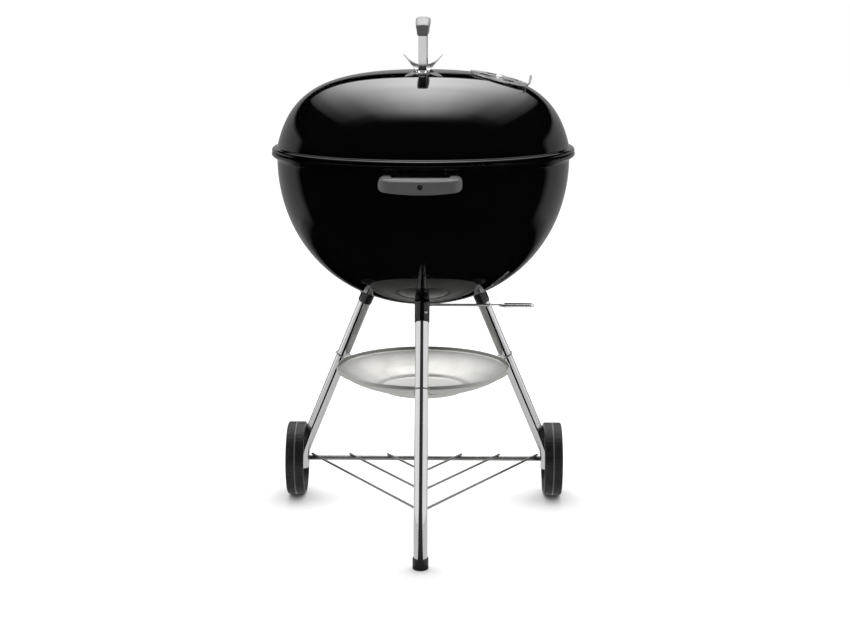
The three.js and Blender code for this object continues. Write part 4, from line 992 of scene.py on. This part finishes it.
tread = {"Ribs": 150, "Radius": TREAD_R + 0.6, "Rib Width": 1.6, "Rib Height": 1.4,
         "Rib Length": 15.2}
rib_rows = [moved(grown(RIBS, tread), shift(0, 0, z)) for z in (9.6, 27.8)]
spokes = [spoke(45 * i) for i in range(8)]
wheel_form = together(lathe(tyre, 150), lathe(hub, 48), *spokes, *rib_rows)
ridge = [(TREAD_R - 0.3, 17.2), (75.6, 17.2), (76.0, 17.5), (WHEEL_R, 17.9), (WHEEL_R, 19.5),
         (76.0, 19.9), (75.6, 20.2), (TREAD_R - 0.3, 20.2)]
cap_from, cap_to = HUB_TO + 0.3, HUB_TO + 0.3 + 7.15
hub_cap = [(5.3, cap_from), (12, cap_from), (12, cap_to - 3.5)]
hub_cap += [(9 + 3 * cos(radians(a)), cap_to - 3.5 + 2.7 * sin(radians(a))) for a in range(15, 91, 15)]
hub_cap += [(4, cap_to), (0, cap_to), (0, cap_to - 1.2), (5.3, cap_to - 1.2)]
for name, side in (("right", 1), ("left", -1)):
    at = shift(side * WHEEL_IN, AXLE_Y, AXLE_Z) @ Matrix.Rotation(side * pi / 2, 4, "Y")
    body = f"{name}_wheel_body"
    wheel = build(f"{name}_road_wheel", moved(wheel_form, at), 32)
    place(wheel, body, "black_plastic", PLASTIC, f"{name}_wheel")
    line_piece = build(f"{name}_tread_ridge", moved(lathe(ridge, 150), at))
    place(line_piece, body, "black_plastic", RIDGE_PLASTIC)
    cap_piece = build(f"{name}_axle_cap", moved(lathe(hub_cap, 44), at))
    place(cap_piece, "base", "black_plastic", PLASTIC, f"{name}_hub_cap")
print("wheel faces:", made["right_road_wheel"])

# %% The axle
axle_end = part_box("axle")[1].x / MM
axle_path = [(-axle_end, AXLE_Y, AXLE_Z), (axle_end, AXLE_Y, AXLE_Z)]
axle = build("axle_rod", swept(axle_path, 5.0, 32, nose=0.8))
place(axle, "base", "zinc", ZINC, "axle")
print("axle length:", round(2 * axle_end, 1))

# %% [markdown]
# ## Wire rack
# Three bent wires and one straight spine make the bottom rack, welded where they cross. A curve
# object with a round bevel could draw them. Here each wire is swept along its bent path in code,
# so that its bend radius is exact and its cut ends keep a small rounding.

# %% The rack
WIRE_R = 2.3
RACK_Z = AXLE_Z + 5 + 0.3 + WIRE_R
SPINE_Z = RACK_Z - 4.4
RACK_HALF, RACK_STEP, RACK_DEPTH = 237, 79.5, 1.57
rack_back = AXLE_Y + 4
wires = []
for i in range(3):
    reach = RACK_HALF - i * RACK_STEP
    corners = [(-reach, rack_back, RACK_Z), (0, rack_back - reach * RACK_DEPTH, RACK_Z),
               (reach, rack_back, RACK_Z)]
    wires.append(swept(rounded(corners, 14, 10), WIRE_R, 16, nose=0.7))
spine_start = rack_back - (RACK_HALF - 2 * RACK_STEP) * RACK_DEPTH + 20
spine = [(0, spine_start, SPINE_Z), (0, -FOOT_AT + 6.7, SPINE_Z)]
rack = build("wire_rack", together(*wires, swept(spine, WIRE_R, 16, nose=0.7)))
place(rack, "base", "wire", WIRE, "bottom_rack")
print("rack faces:", made["wire_rack"])

# %% [markdown]
# ## Ash pan
# A shallow spun dish hangs between the legs on three wire clips. It has an upright band under a
# rolled edge and a pressed ring round its flat middle. It is turned from one outline like the
# bowl, and the room for each clip is cut with the clip's own wire, a little thicker, and with a
# narrow slot.

# %% The pan and its clips
PAN_R, PAN_Z, PAN_DEPTH = 171.5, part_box("ash_pan")[1].z / MM, 46.2
CLIP_Z, CLIP_REACH, CLIP_R = 312.0, 47.0, 1.2
CLIP_BOW = LEG_R + CLIP_R + 0.3
under = [(PAN_R, -0.8), (PAN_R, -6.2), (PAN_R - 0.8, -6.9)]
under += curve((PAN_R - 4.5, -7.5), (PAN_R - 27.2, -0.57 * PAN_DEPTH), (94.5, -0.86 * PAN_DEPTH),
               steps=24)
under += [(90, -0.905 * PAN_DEPTH), (86.5, -0.965 * PAN_DEPTH), (83.5, -PAN_DEPTH + 0.2),
          (80, -PAN_DEPTH), (0, -PAN_DEPTH)]
rim = [(PAN_R - 1.5, 0.0), (PAN_R - 0.4, 0.0), (PAN_R, -0.3)]
line = under[::-1] + rim[::-1] + beside(under, -1.5)
pan = build("ash_dish", lathe([(r, z + PAN_Z) for r, z in line], 200), 30)


def clip_path():
    """Round the leg and in towards the pan on both sides."""
    turns = ((-CLIP_BOW, -CLIP_REACH), (-CLIP_BOW, CLIP_BOW), (CLIP_BOW, CLIP_BOW),
             (CLIP_BOW, -CLIP_REACH))
    corners = [on_leg(CLIP_Z) + Vector((x, 0, 0)) + leg_out * out for x, out in turns]
    return rounded(corners, CLIP_BOW - 0.01, 12)


slot_square = [(13.0, -6), (30.0, -6), (30.0, 26), (13.0, 26)]
slot_at = Matrix.Translation(on_leg(CLIP_Z) - leg_out * (CLIP_REACH - 10))
slot_at = slot_at @ Matrix.Rotation(-TILT, 4, "X")
cutters = []
for turn in TURNS.values():
    cutters.append(moved(swept(clip_path(), CLIP_R + 0.3, 12), turn_z(turn)))
    cutters.append(moved(raised(slot_square, -1.6, 1.6), turn_z(turn) @ slot_at))
cut(pan, *cutters, smooth=30)
place(pan, "base", "aluminium", PAN_METAL, "ash_pan")
for side, turn in TURNS.items():
    wire = moved(swept(clip_path(), CLIP_R, 14, nose=0.4), turn_z(turn))
    place(build(f"{side}_wire_clip", wire), "base", "wire", WIRE, f"{side}_pan_clip")
print("pan faces:", made["ash_dish"])

# %% [markdown]
# ## Lever under the bowl
# A chromed lever turns the blades inside the bowl, which open the vents and push the ash down. It
# is a bent rod, flattened where its two ends are welded, and closed in a long loop for the hand.
# A Boolean could unite the welded parts. They are left as closed forms that run into each other,
# so that no cut spoils their faces.

# %% Lever and spindle
ROD_R = 2.8
COLLAR_TOP = BOWL_BASE - 0.3
COLLAR_LOW = COLLAR_TOP - 4
LEVER_Z = COLLAR_LOW - 0.3 - ROD_R
LOOP_FROM, LOOP_WIDE, LOOP_END, LOOP_HALF = 148, 159, 218 - ROD_R, 12.5 - ROD_R
lever_low, lever_top = LEVER_Z - ROD_R, LEVER_Z + ROD_R
loop = [(LOOP_FROM, 0), (LOOP_WIDE, -LOOP_HALF), (LOOP_END, -LOOP_HALF), (LOOP_END, LOOP_HALF),
        (LOOP_WIDE, LOOP_HALF), (LOOP_FROM, 0)]
loop = rounded([(x, y, LEVER_Z) for x, y in loop], 6, 8)
straight = [(7, 0, LEVER_Z), (150, 0, LEVER_Z)]
boss = [(4.5, lever_low), (10, lever_low), (10.5, lever_low + 0.5), (10.5, lever_top - 0.5),
        (10, lever_top), (4.5, lever_top)]
weld = [(128, -2.6), (132, -4.3), (146, -4.5), (151, -3.4)]
weld = raised(weld + [(x, -y) for x, y in reversed(weld)], LEVER_Z - 1.6, LEVER_Z + 1.6)
rods = swept(loop, ROD_R, 18), swept(straight, ROD_R, 18)
lever = build("sweep_lever", together(*rods, lathe(boss, 40), weld))
place(lever, "sweep", "chrome", CHROME, "vent_lever")
POST_R, COLLAR_R = 4.2, 22
post_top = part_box("sweep_spindle")[1].z / MM
spindle = [(0, lever_low - 4.5), (POST_R - 0.6, lever_low - 4.5), (POST_R, lever_low - 3.9),
           (POST_R, COLLAR_LOW), (COLLAR_R - 1.5, COLLAR_LOW), (COLLAR_R, COLLAR_LOW + 1.5),
           (COLLAR_R, COLLAR_TOP), (POST_R, COLLAR_TOP), (POST_R, post_top - 0.6),
           (POST_R - 0.6, post_top), (0, post_top)]
place(build("sweep_post", lathe(spindle, 44)), "sweep", "zinc", ZINC, "sweep_spindle")
print("lever faces:", made["sweep_lever"], "post faces:", made["sweep_post"])

# %% [markdown]
# ## Grates
# Both grates are rings of wire with parallel wires across them and two bars below. The wires stand
# at one pitch, and each ends where it meets the ring, so a Geometry Nodes tree sets them out: a
# line of points, and on each a wire whose half length is the half chord of the circle there.


# %% Geometry Nodes: wires across a ring
def wires_tree(finish_to_use):
    takes = {"Geometry": "Geometry", "Wires": "Int", "Pitch": "Float", "Ring Radius": "Float",
             "Wire Radius": "Float"}
    tree, given = new_tree("wires across a ring", "GeometryNodeTree", takes,
                           {"Geometry": "Geometry"})
    wires, pitch, ring = given["Wires"], given["Pitch"], given["Ring Radius"]
    line = node(tree, "GeometryNodeMeshLine", mode="OFFSET", Count=wires,
                Offset=node(tree, "ShaderNodeCombineXYZ", pitch))
    whole = maths(tree, "MULTIPLY", maths(tree, "SUBTRACT", wires, 1.0), pitch)
    half_back = node(tree, "ShaderNodeCombineXYZ", maths(tree, "MULTIPLY", whole, -0.5))
    middle = node(tree, "GeometryNodeSetPosition", line, Offset=half_back)
    x = node(tree, "ShaderNodeSeparateXYZ", node(tree, "GeometryNodeInputPosition"))
    rest = maths(tree, "SUBTRACT", maths(tree, "MULTIPLY", ring, ring),
                 maths(tree, "MULTIPLY", x, x))
    size = node(tree, "ShaderNodeCombineXYZ", 1.0, 1.0, maths(tree, "SQRT", rest))
    wire = node(tree, "GeometryNodeMeshCylinder", Vertices=12, Depth=2.0,
                Radius=given["Wire Radius"])
    row = node(tree, "GeometryNodeInstanceOnPoints", middle, Instance=wire,
               Rotation=(pi / 2, 0, 0), Scale=size)
    return dressed(tree, row, finish_to_use)


WIRES = wires_tree(WIRE)
print("inputs of the wires:", [s.name for s in WIRES.interface.items_tree if s.in_out == "INPUT"])


# %% Cooking and charcoal grates
RING_WIRE_R, COOKING_R, COALS_R, GRATE_HANDLE_HALF = 3.2, 270, 212, 45


def ring_form(radius, tube, z, around=180, sides=16):
    turns = [2 * pi * i / sides for i in range(sides)]
    return lathe([(radius + tube * cos(a), z + tube * sin(a)) for a in turns], around)


def grate(radius, pitch, z):
    across = grown(WIRES, {"Wires": 2 * int((radius - 10) // pitch) + 1, "Pitch": float(pitch),
                           "Ring Radius": float(radius), "Wire Radius": 2.2})
    forms = [ring_form(radius, RING_WIRE_R, z), moved(across, shift(0, 0, z))]
    for y in (-radius * 0.4, radius * 0.4):
        reach = sqrt((radius - 2) ** 2 - y * y)
        forms.append(swept([(-reach, y, z - 4.9), (reach, y, z - 4.9)], 2.6, 12, nose=0.5))
    return together(*forms)


cooking_z = RIM_Z - 50
coals_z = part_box("charcoal_grate")[1].z / MM - RING_WIRE_R
cooking = build("cooking_grid", grate(COOKING_R, 24, cooking_z))
place(cooking, "cooking_grate_body", "wire", WIRE, "cooking_grate")
coals = build("charcoal_grid", grate(COALS_R, 36, coals_z))
place(coals, "charcoal_grate_body", "wire", WIRE, "charcoal_grate")
handle_x = sqrt(COOKING_R**2 - GRATE_HANDLE_HALF**2)
low, high = cooking_z + 3.5, cooking_z + 24
for name, side in (("right", 1), ("left", -1)):
    arch = [(0, -1, low), (5, -1, high), (5, 1, high), (0, 1, low)]
    arch = [(side * (handle_x - x), y * GRATE_HANDLE_HALF, z) for x, y, z in arch]
    piece = build(f"{name}_grid_handle", swept(rounded(arch, 10, 8), RING_WIRE_R, 16))
    place(piece, "cooking_grate_body", "wire", WIRE, f"{name}_grate_handle")
print("cooking grate faces:", made["cooking_grid"])

# %% [markdown]
# ## Small steel pieces
# Nuts, the lever's clip, the sweep's blades and the lid's inner hook are plain stamped pieces whose
# solids already have the right shape, so they only get a finish. Brackets and grate tabs are
# welded to the bowl's wall. The finer wall lies a little further in than the coarse one, so they
# are copied, and the edge that meets the wall is drawn in to reach it.

# %% Finishes for the solids that stay
stays = {
    "front_strap_nut": ZINC, "rear_strap_nut": ZINC, "sweep_nut": ZINC, "lever_clip": ZINC,
    "lid_hook": ZINC, "sweep_blades": DISC_METAL,
}
for name, material in stays.items():
    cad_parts[name].material_slots[0].material = material
print("solids that stay:", len(stays))


# %% Brackets and tabs that reach the finer wall
def drawn_in(node_name, piece_name, inward, from_share, to_share):
    """Copies a solid and moves its points towards the axis: not at all at one share of its
    depth, measured from its inner edge, and by the full distance at the other."""
    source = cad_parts[node_name]
    mesh = source.data.copy()
    mesh.transform(source.matrix_world)
    work = bmesh.new()
    work.from_mesh(mesh)
    bmesh.ops.remove_doubles(work, verts=work.verts, dist=1e-6)
    middle = sum((v.co for v in work.verts), Vector()) / len(work.verts)
    out = Vector((middle.x, middle.y, 0)).normalized()
    depths = [v.co.dot(out) for v in work.verts]
    near, far = min(depths), max(depths)
    for v, depth in zip(work.verts, depths):
        share = (depth - near) / (far - near)
        part = min(1.0, max(0.0, (share - from_share) / (to_share - from_share)))
        v.co -= out * inward * MM * part
    bmesh.ops.dissolve_limit(work, angle_limit=radians(1), verts=work.verts, edges=work.edges)
    bmesh.ops.recalc_face_normals(work, faces=work.faces)
    work.to_mesh(mesh)
    work.free()
    thing = bpy.data.objects.new(piece_name, mesh)
    bpy.context.scene.collection.objects.link(thing)
    place(ease_edges(thing, 0.3, 2, 50), "base", "zinc", ZINC, node_name)


for end in ("front", "rear"):
    drawn_in(f"{end}_handle_bracket", f"{end}_grip_bracket", 2.9, 0.6, 0.2)
for i in (1, 2, 3):
    drawn_in(f"grate_tab_{i}", f"grid_tab_{i}", 2.8, 0.0, 0.01)
print("pieces drawn in:", [name for name in made if "bracket" in name or "grid_tab" in name])

# %% [markdown]
# ## Floor and backdrop
# The set is plain white. The floor that the camera sees is mostly lit from within, and its glow
# is dimmed where something stands on it or hangs just above it: a painted contact shadow, leaned
# towards the front as if the light came from behind. A dim matt layer under the glow keeps some
# real shadow too. For all other light it is plain white paint.


# %% Helpers for the set
def grey(value):
    return (value, value, value, 1)


def bare_material(name):
    """A material with an empty node tree."""
    material = bpy.data.materials.new(name)
    material.use_nodes = True
    material.node_tree.nodes.clear()
    return material


def sheet_of_set(name, points, material, faces=None):
    """One flat sheet, or several faces, that belongs to the set and not to the grill."""
    mesh = bpy.data.meshes.new(name)
    mesh.from_pydata(points, [], faces or [list(range(len(points)))])
    mesh.materials.append(material)
    thing = bpy.data.objects.new(name, mesh)
    bpy.context.scene.collection.objects.link(thing)
    thing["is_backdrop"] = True
    return thing


# %% The floor
floor_finish = bare_material("white_floor")
tree = floor_finish.node_tree
# Painted shadow: the floor's glow falls with the ambient occlusion round each point, and a normal leaned
# back pushes that painted contact shade to the front.
painted_shadow_lean = node(tree, "ShaderNodeCombineXYZ", 0.0, 0.75, 0.66)
painted_shadow_reach = node(tree, "ShaderNodeAmbientOcclusion", samples=24, Distance=0.13, Normal=painted_shadow_lean)
glow_less_painted_shadow = node(tree, "ShaderNodeMapRange", painted_shadow_reach.outputs["AO"], From_Min=0.18, From_Max=0.995,
              To_Max=0.9)
matt = node(tree, "ShaderNodeBsdfDiffuse", grey(0.34))
glow = node(tree, "ShaderNodeEmission", grey(1), glow_less_painted_shadow)
paint = node(tree, "ShaderNodeBsdfDiffuse", grey(0.78))
to_camera = node(tree, "ShaderNodeLightPath").outputs["Is Camera Ray"]
pick = node(tree, "ShaderNodeMixShader", to_camera, paint, node(tree, "ShaderNodeAddShader", matt, glow))
node(tree, "ShaderNodeOutputMaterial", pick)
FLOOR_HALF = 14.0
square = [(-1, -1), (1, -1), (1, 1), (-1, 1)]
floor = sheet_of_set("floor", [(x * FLOOR_HALF, y * FLOOR_HALF, 0) for x, y in square], floor_finish)
floor.visible_glossy = False
print("floor half width:", FLOOR_HALF)

# %% [markdown]
# ## Light
# Black enamel is a mirror, so what it shows is the set itself: a big soft light overhead with a
# bright middle, and a pale wall behind. Chrome needs pale cards all round with a dark gap in front,
# or it turns black. On a real set, flags keep these cards out of the enamel. Light linking does the
# work of the flags here. Every card is a sheet that glows and lets other light through.


# %% A glowing sheet whose level follows tables along its axes
def level(tree, source, table):
    """A straight-line curve through (place, level) pairs."""
    first, last, peak = table[0][0], table[-1][0], max(v for _, v in table)
    share = node(tree, "ShaderNodeMapRange", source, From_Min=first, From_Max=last)
    ramp = node(tree, "ShaderNodeValToRGB", share)
    stops = ramp.color_ramp.elements
    for at, _ in table[1:-1]:
        stops.new((at - first) / (last - first))
    for stop, (_, value) in zip(stops, table):
        stop.color = grey(value / peak)
    return maths(tree, "MULTIPLY", ramp, peak)


def sheet_finish(name, *layers):
    """A see-through glowing sheet. A layer is a list of (axis, table); its tables multiply, and
    the layers add up. The axis Aside is the distance from the middle, and Round is the turn from
    straight ahead, in radians."""
    material = bare_material(name)
    tree = material.node_tree
    where = node(tree, "ShaderNodeTexCoord").outputs["Object"]
    axes = dict(node(tree, "ShaderNodeSeparateXYZ", where).outputs.items())
    axes["Aside"] = maths(tree, "ABSOLUTE", axes["X"])
    axes["Round"] = maths(tree, "ARCTAN2", axes["Aside"], maths(tree, "MULTIPLY", axes["Y"], -1.0))
    totals = []
    for layer in layers:
        tables = [level(tree, axes[axis], table) for axis, table in layer]
        totals.append(reduce(lambda a, b: maths(tree, "MULTIPLY", a, b), tables))
    total = reduce(lambda a, b: maths(tree, "ADD", a, b), totals)
    glow = node(tree, "ShaderNodeEmission", grey(1), total)
    clear = node(tree, "ShaderNodeBsdfTransparent")
    node(tree, "ShaderNodeOutputMaterial", node(tree, "ShaderNodeAddShader", glow, clear))
    return material


def card(name, points, glow, receivers=None, faces=None):
    """A glowing sheet that the camera doesn't see. glow is a finish or one level all over. With
    receivers it shows only as a reflection in those."""
    if isinstance(glow, float):
        glow = sheet_finish(f"{name}_glow", [("Z", [(-9, glow), (9, glow)])])
    sheet = sheet_of_set(name, points, glow, faces)
    sheet.visible_camera = sheet.visible_shadow = sheet.visible_transmission = False
    if receivers:
        sheet.visible_diffuse = False
        sheet.light_linking.receiver_collection = receivers
    return sheet


# %% The overhead light
TOP_Z, TOP_SIDE, TOP_FRONT, TOP_BACK = 2.40, 2.1, -1.1, 3.9
spread = [(0, 2.5), (0.5, 2.1), (0.9, 1.7), (1.1, 1.3), (1.4, 0.85), (1.6, 0.45), (2.0, 0.15),
          (TOP_SIDE, 0)]
depth = [(-0.9, 0), (-0.5, 0.19), (-0.3, 0.54), (-0.1, 0.73), (0.1, 0.85), (0.3, 1.0),
         (0.7, 1.15), (1.15, 1.23), (1.8, 1.15), (2.25, 1.08), (2.75, 0.98), (3.25, 0.92),
         (3.55, 0.9), (3.85, 0)]
bright = [(0, 4.1), (0.3, 3.3), (0.5, 2.0), (0.7, 1.1), (0.9, 0.25), (1.0, 0)]
bright_depth = [(TOP_FRONT, 0), (-0.9, 0.11), (-0.7, 0.38), (-0.5, 0.81), (-0.3, 0.89),
                (-0.1, 0.94), (0.3, 1), (0.7, 0.78), (1.15, 0.4), (1.45, 0.36), (1.8, 0.28),
                (2.25, 0.12), (2.75, 0.05), (3.25, 0)]
overhead = sheet_finish("overhead_glow", [("Aside", spread), ("Y", depth)],
                        [("Aside", bright), ("Y", bright_depth)])
card("overhead_card", [(-TOP_SIDE, TOP_FRONT, TOP_Z), (-TOP_SIDE, TOP_BACK, TOP_Z),
                       (TOP_SIDE, TOP_BACK, TOP_Z), (TOP_SIDE, TOP_FRONT, TOP_Z)], overhead)
print("overhead light at", TOP_Z, "m")


# %% Who sees which cards
def seen_by(name, *pieces):
    """A set of pieces that one card is for."""
    group = bpy.data.collections.new(name)
    for piece in pieces:
        group.objects.link(bpy.data.objects.get(piece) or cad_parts[piece])
    return group


everything = [t.name for t in bpy.data.objects
              if t.type == "MESH" and t.name not in ("floor", "overhead_card")]
mirrors = ["bowl_shell", "lid_shell"]
front_strap = ["front_grip_strap", "front_strap_screw"]
top_gear = front_strap + ["rear_grip_strap", "rear_strap_screw", "heat_deflector", "damper_disc",
                          "damper_tab", "damper_rivet_head"]
legs = [f"{side}_tube_leg" for side in TURNS]


def all_but(name, *left_out):
    return seen_by(name, *[n for n in everything if n not in mirrors + list(left_out)])


glossy = seen_by("enamel_mirrors", *mirrors)
lit = all_but("bright_pieces")
low_gear = all_but("bright_low_pieces", *top_gear)
facing = seen_by("pieces_facing_front", *top_gear, "sweep_lever", "sweep_post", "lid_grip")
not_front_strap = all_but("all_but_front_strap", *front_strap)
others = all_but("pieces_between", *legs)
each_leg = {side: seen_by(f"{side}_leg_only", f"{side}_tube_leg") for side in TURNS}


# %% The wall that only the enamel sees
def ring_part(radius, start, end, step=6):
    """Points on a circle, by their turn from straight ahead."""
    count = max(1, round(abs(end - start) / step))
    turns = [radians(start + (end - start) * i / count) for i in range(count + 1)]
    return [(radius * sin(a), -radius * cos(a)) for a in turns]


BACK_AT, BACK_LOW, BACK_TOP, BACK_FROM, BACK_FULL = 3.0, -2.1, 1.6, 106, 114
back_plan = ring_part(BACK_AT, BACK_FROM, 360 - BACK_FROM, 4)
across = len(back_plan)
back_points = [(x, y, z) for z in (BACK_LOW, BACK_TOP) for x, y in back_plan]
back_faces = [[i, i + 1, across + i + 1, across + i] for i in range(across - 1)]
round_back = [(radians(BACK_FROM), 0), (radians(BACK_FULL), 1), (pi, 1)]
up_back = [(BACK_LOW, 0), (-1.05, 0), (-0.5, 0.33), (1.38, 0.33), (1.55, 0), (BACK_TOP, 0)]
back_glow = sheet_finish("back_glow", [("Round", round_back), ("Z", up_back)])
card("back_wall", back_points, back_glow, glossy, back_faces)
print("faces of the wall behind:", len(back_faces))


# %% Upright cards that the metal and the plastics see
def upright(name, y, half, low, high, strength, receivers):
    corners = [(-half, y, low), (half, y, low), (half, y, high), (-half, y, high)]
    card(name, corners, strength, receivers)


SIDE_AT, SIDE_FRONT, SIDE_BACK, SIDE_LOW, SIDE_TOP = 2.2, -3.9, 1.6, 0.02, 4.2
side_glow = sheet_finish("side_glow", [("Y", [(SIDE_FRONT, 0.03), (-3.3, 0.9), (SIDE_BACK, 0.9)])])
for side, name in ((-1, "left"), (1, "right")):
    x = side * SIDE_AT
    corners = [(x, SIDE_FRONT, SIDE_LOW), (x, SIDE_BACK, SIDE_LOW), (x, SIDE_BACK, SIDE_TOP),
               (x, SIDE_FRONT, SIDE_TOP)]
    card(f"{name}_card", corners, side_glow, lit)
upright("back_card", 3.5, 3.0, 0.0, 1.45, 0.8, not_front_strap)
upright("high_back_card", 3.5, 3.0, 1.45, 3.0, 0.8, low_gear)
upright("front_card", -4.0, 2.2, -0.6, 1.35, 0.9, facing)
upright("dim_front_card", -4.2, 2.4, -1.5, 3.8, 0.035, lit)


# %% Cards on the floor, with dark gaps for the legs to show
def on_floor(name, height, corners, receivers, strength=0.65):
    """A sheet just above the floor. No two may lie at one height, or they hide each other."""
    card(name, [(x, y, height) for x, y in corners], strength, receivers)


front_corners = [(0, -0.27), (2.2, -3.93), (2.2, 2.2), (-2.2, 2.2), (-2.2, -3.93)]
on_floor("front_leg_floor", 0.0005, front_corners, each_leg["front"])
near_floor = [(0, -0.25)] + ring_part(0.66, 17.7, 66)
on_floor("floor_between", 0.001, near_floor + ring_part(1.8, 66, 294) + ring_part(0.66, 294, 342.3),
         others)
on_floor("dim_floor", 0.003, ring_part(2.9, 0, 354), others, 0.16)
gap_inside = [(0.28, -0.02), (0.20, -0.38), (0.39, -0.72), (0.75, -1.2), (1.15, -1.7)]
gap_outside = [(0.36, -0.02), (0.54, -0.36), (0.86, -0.62), (1.3, -0.95), (1.75, -1.16)]
for name, side, height in (("left", -1, 0.0015), ("right", 1, 0.0025)):
    corners = ring_part(2.1, 56.5, 394) + gap_inside[::-1] + gap_outside
    on_floor(f"{name}_leg_floor", height, [(side * x, y) for x, y in corners], each_leg[name])

# %% The world: white to the camera, a soft grey fill for matt surfaces, nothing in reflections
world = bpy.data.worlds.new("studio")
bpy.context.scene.world = world
world.use_nodes = True
tree = world.node_tree
tree.nodes.clear()
rays = node(tree, "ShaderNodeLightPath").outputs
fill, dark, white = (node(tree, "ShaderNodeBackground", grey(1), strength)
                     for strength in (0.45, 0.0, 1.0))
not_camera = node(tree, "ShaderNodeMixShader", rays["Is Glossy Ray"], fill, dark)
node(tree, "ShaderNodeOutputWorld",
     node(tree, "ShaderNodeMixShader", rays["Is Camera Ray"], not_camera, white))
print("strength of the fill:", fill.inputs["Strength"].default_value)

# %% [markdown]
# ## Last measures
# The box round the finished grill is measured, and the pieces and their faces are counted. The
# finished grill has to stay inside the solids' box.

# %% Sizes and the end
low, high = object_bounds()
print("pieces:", len(made), "faces:", sum(made.values()))
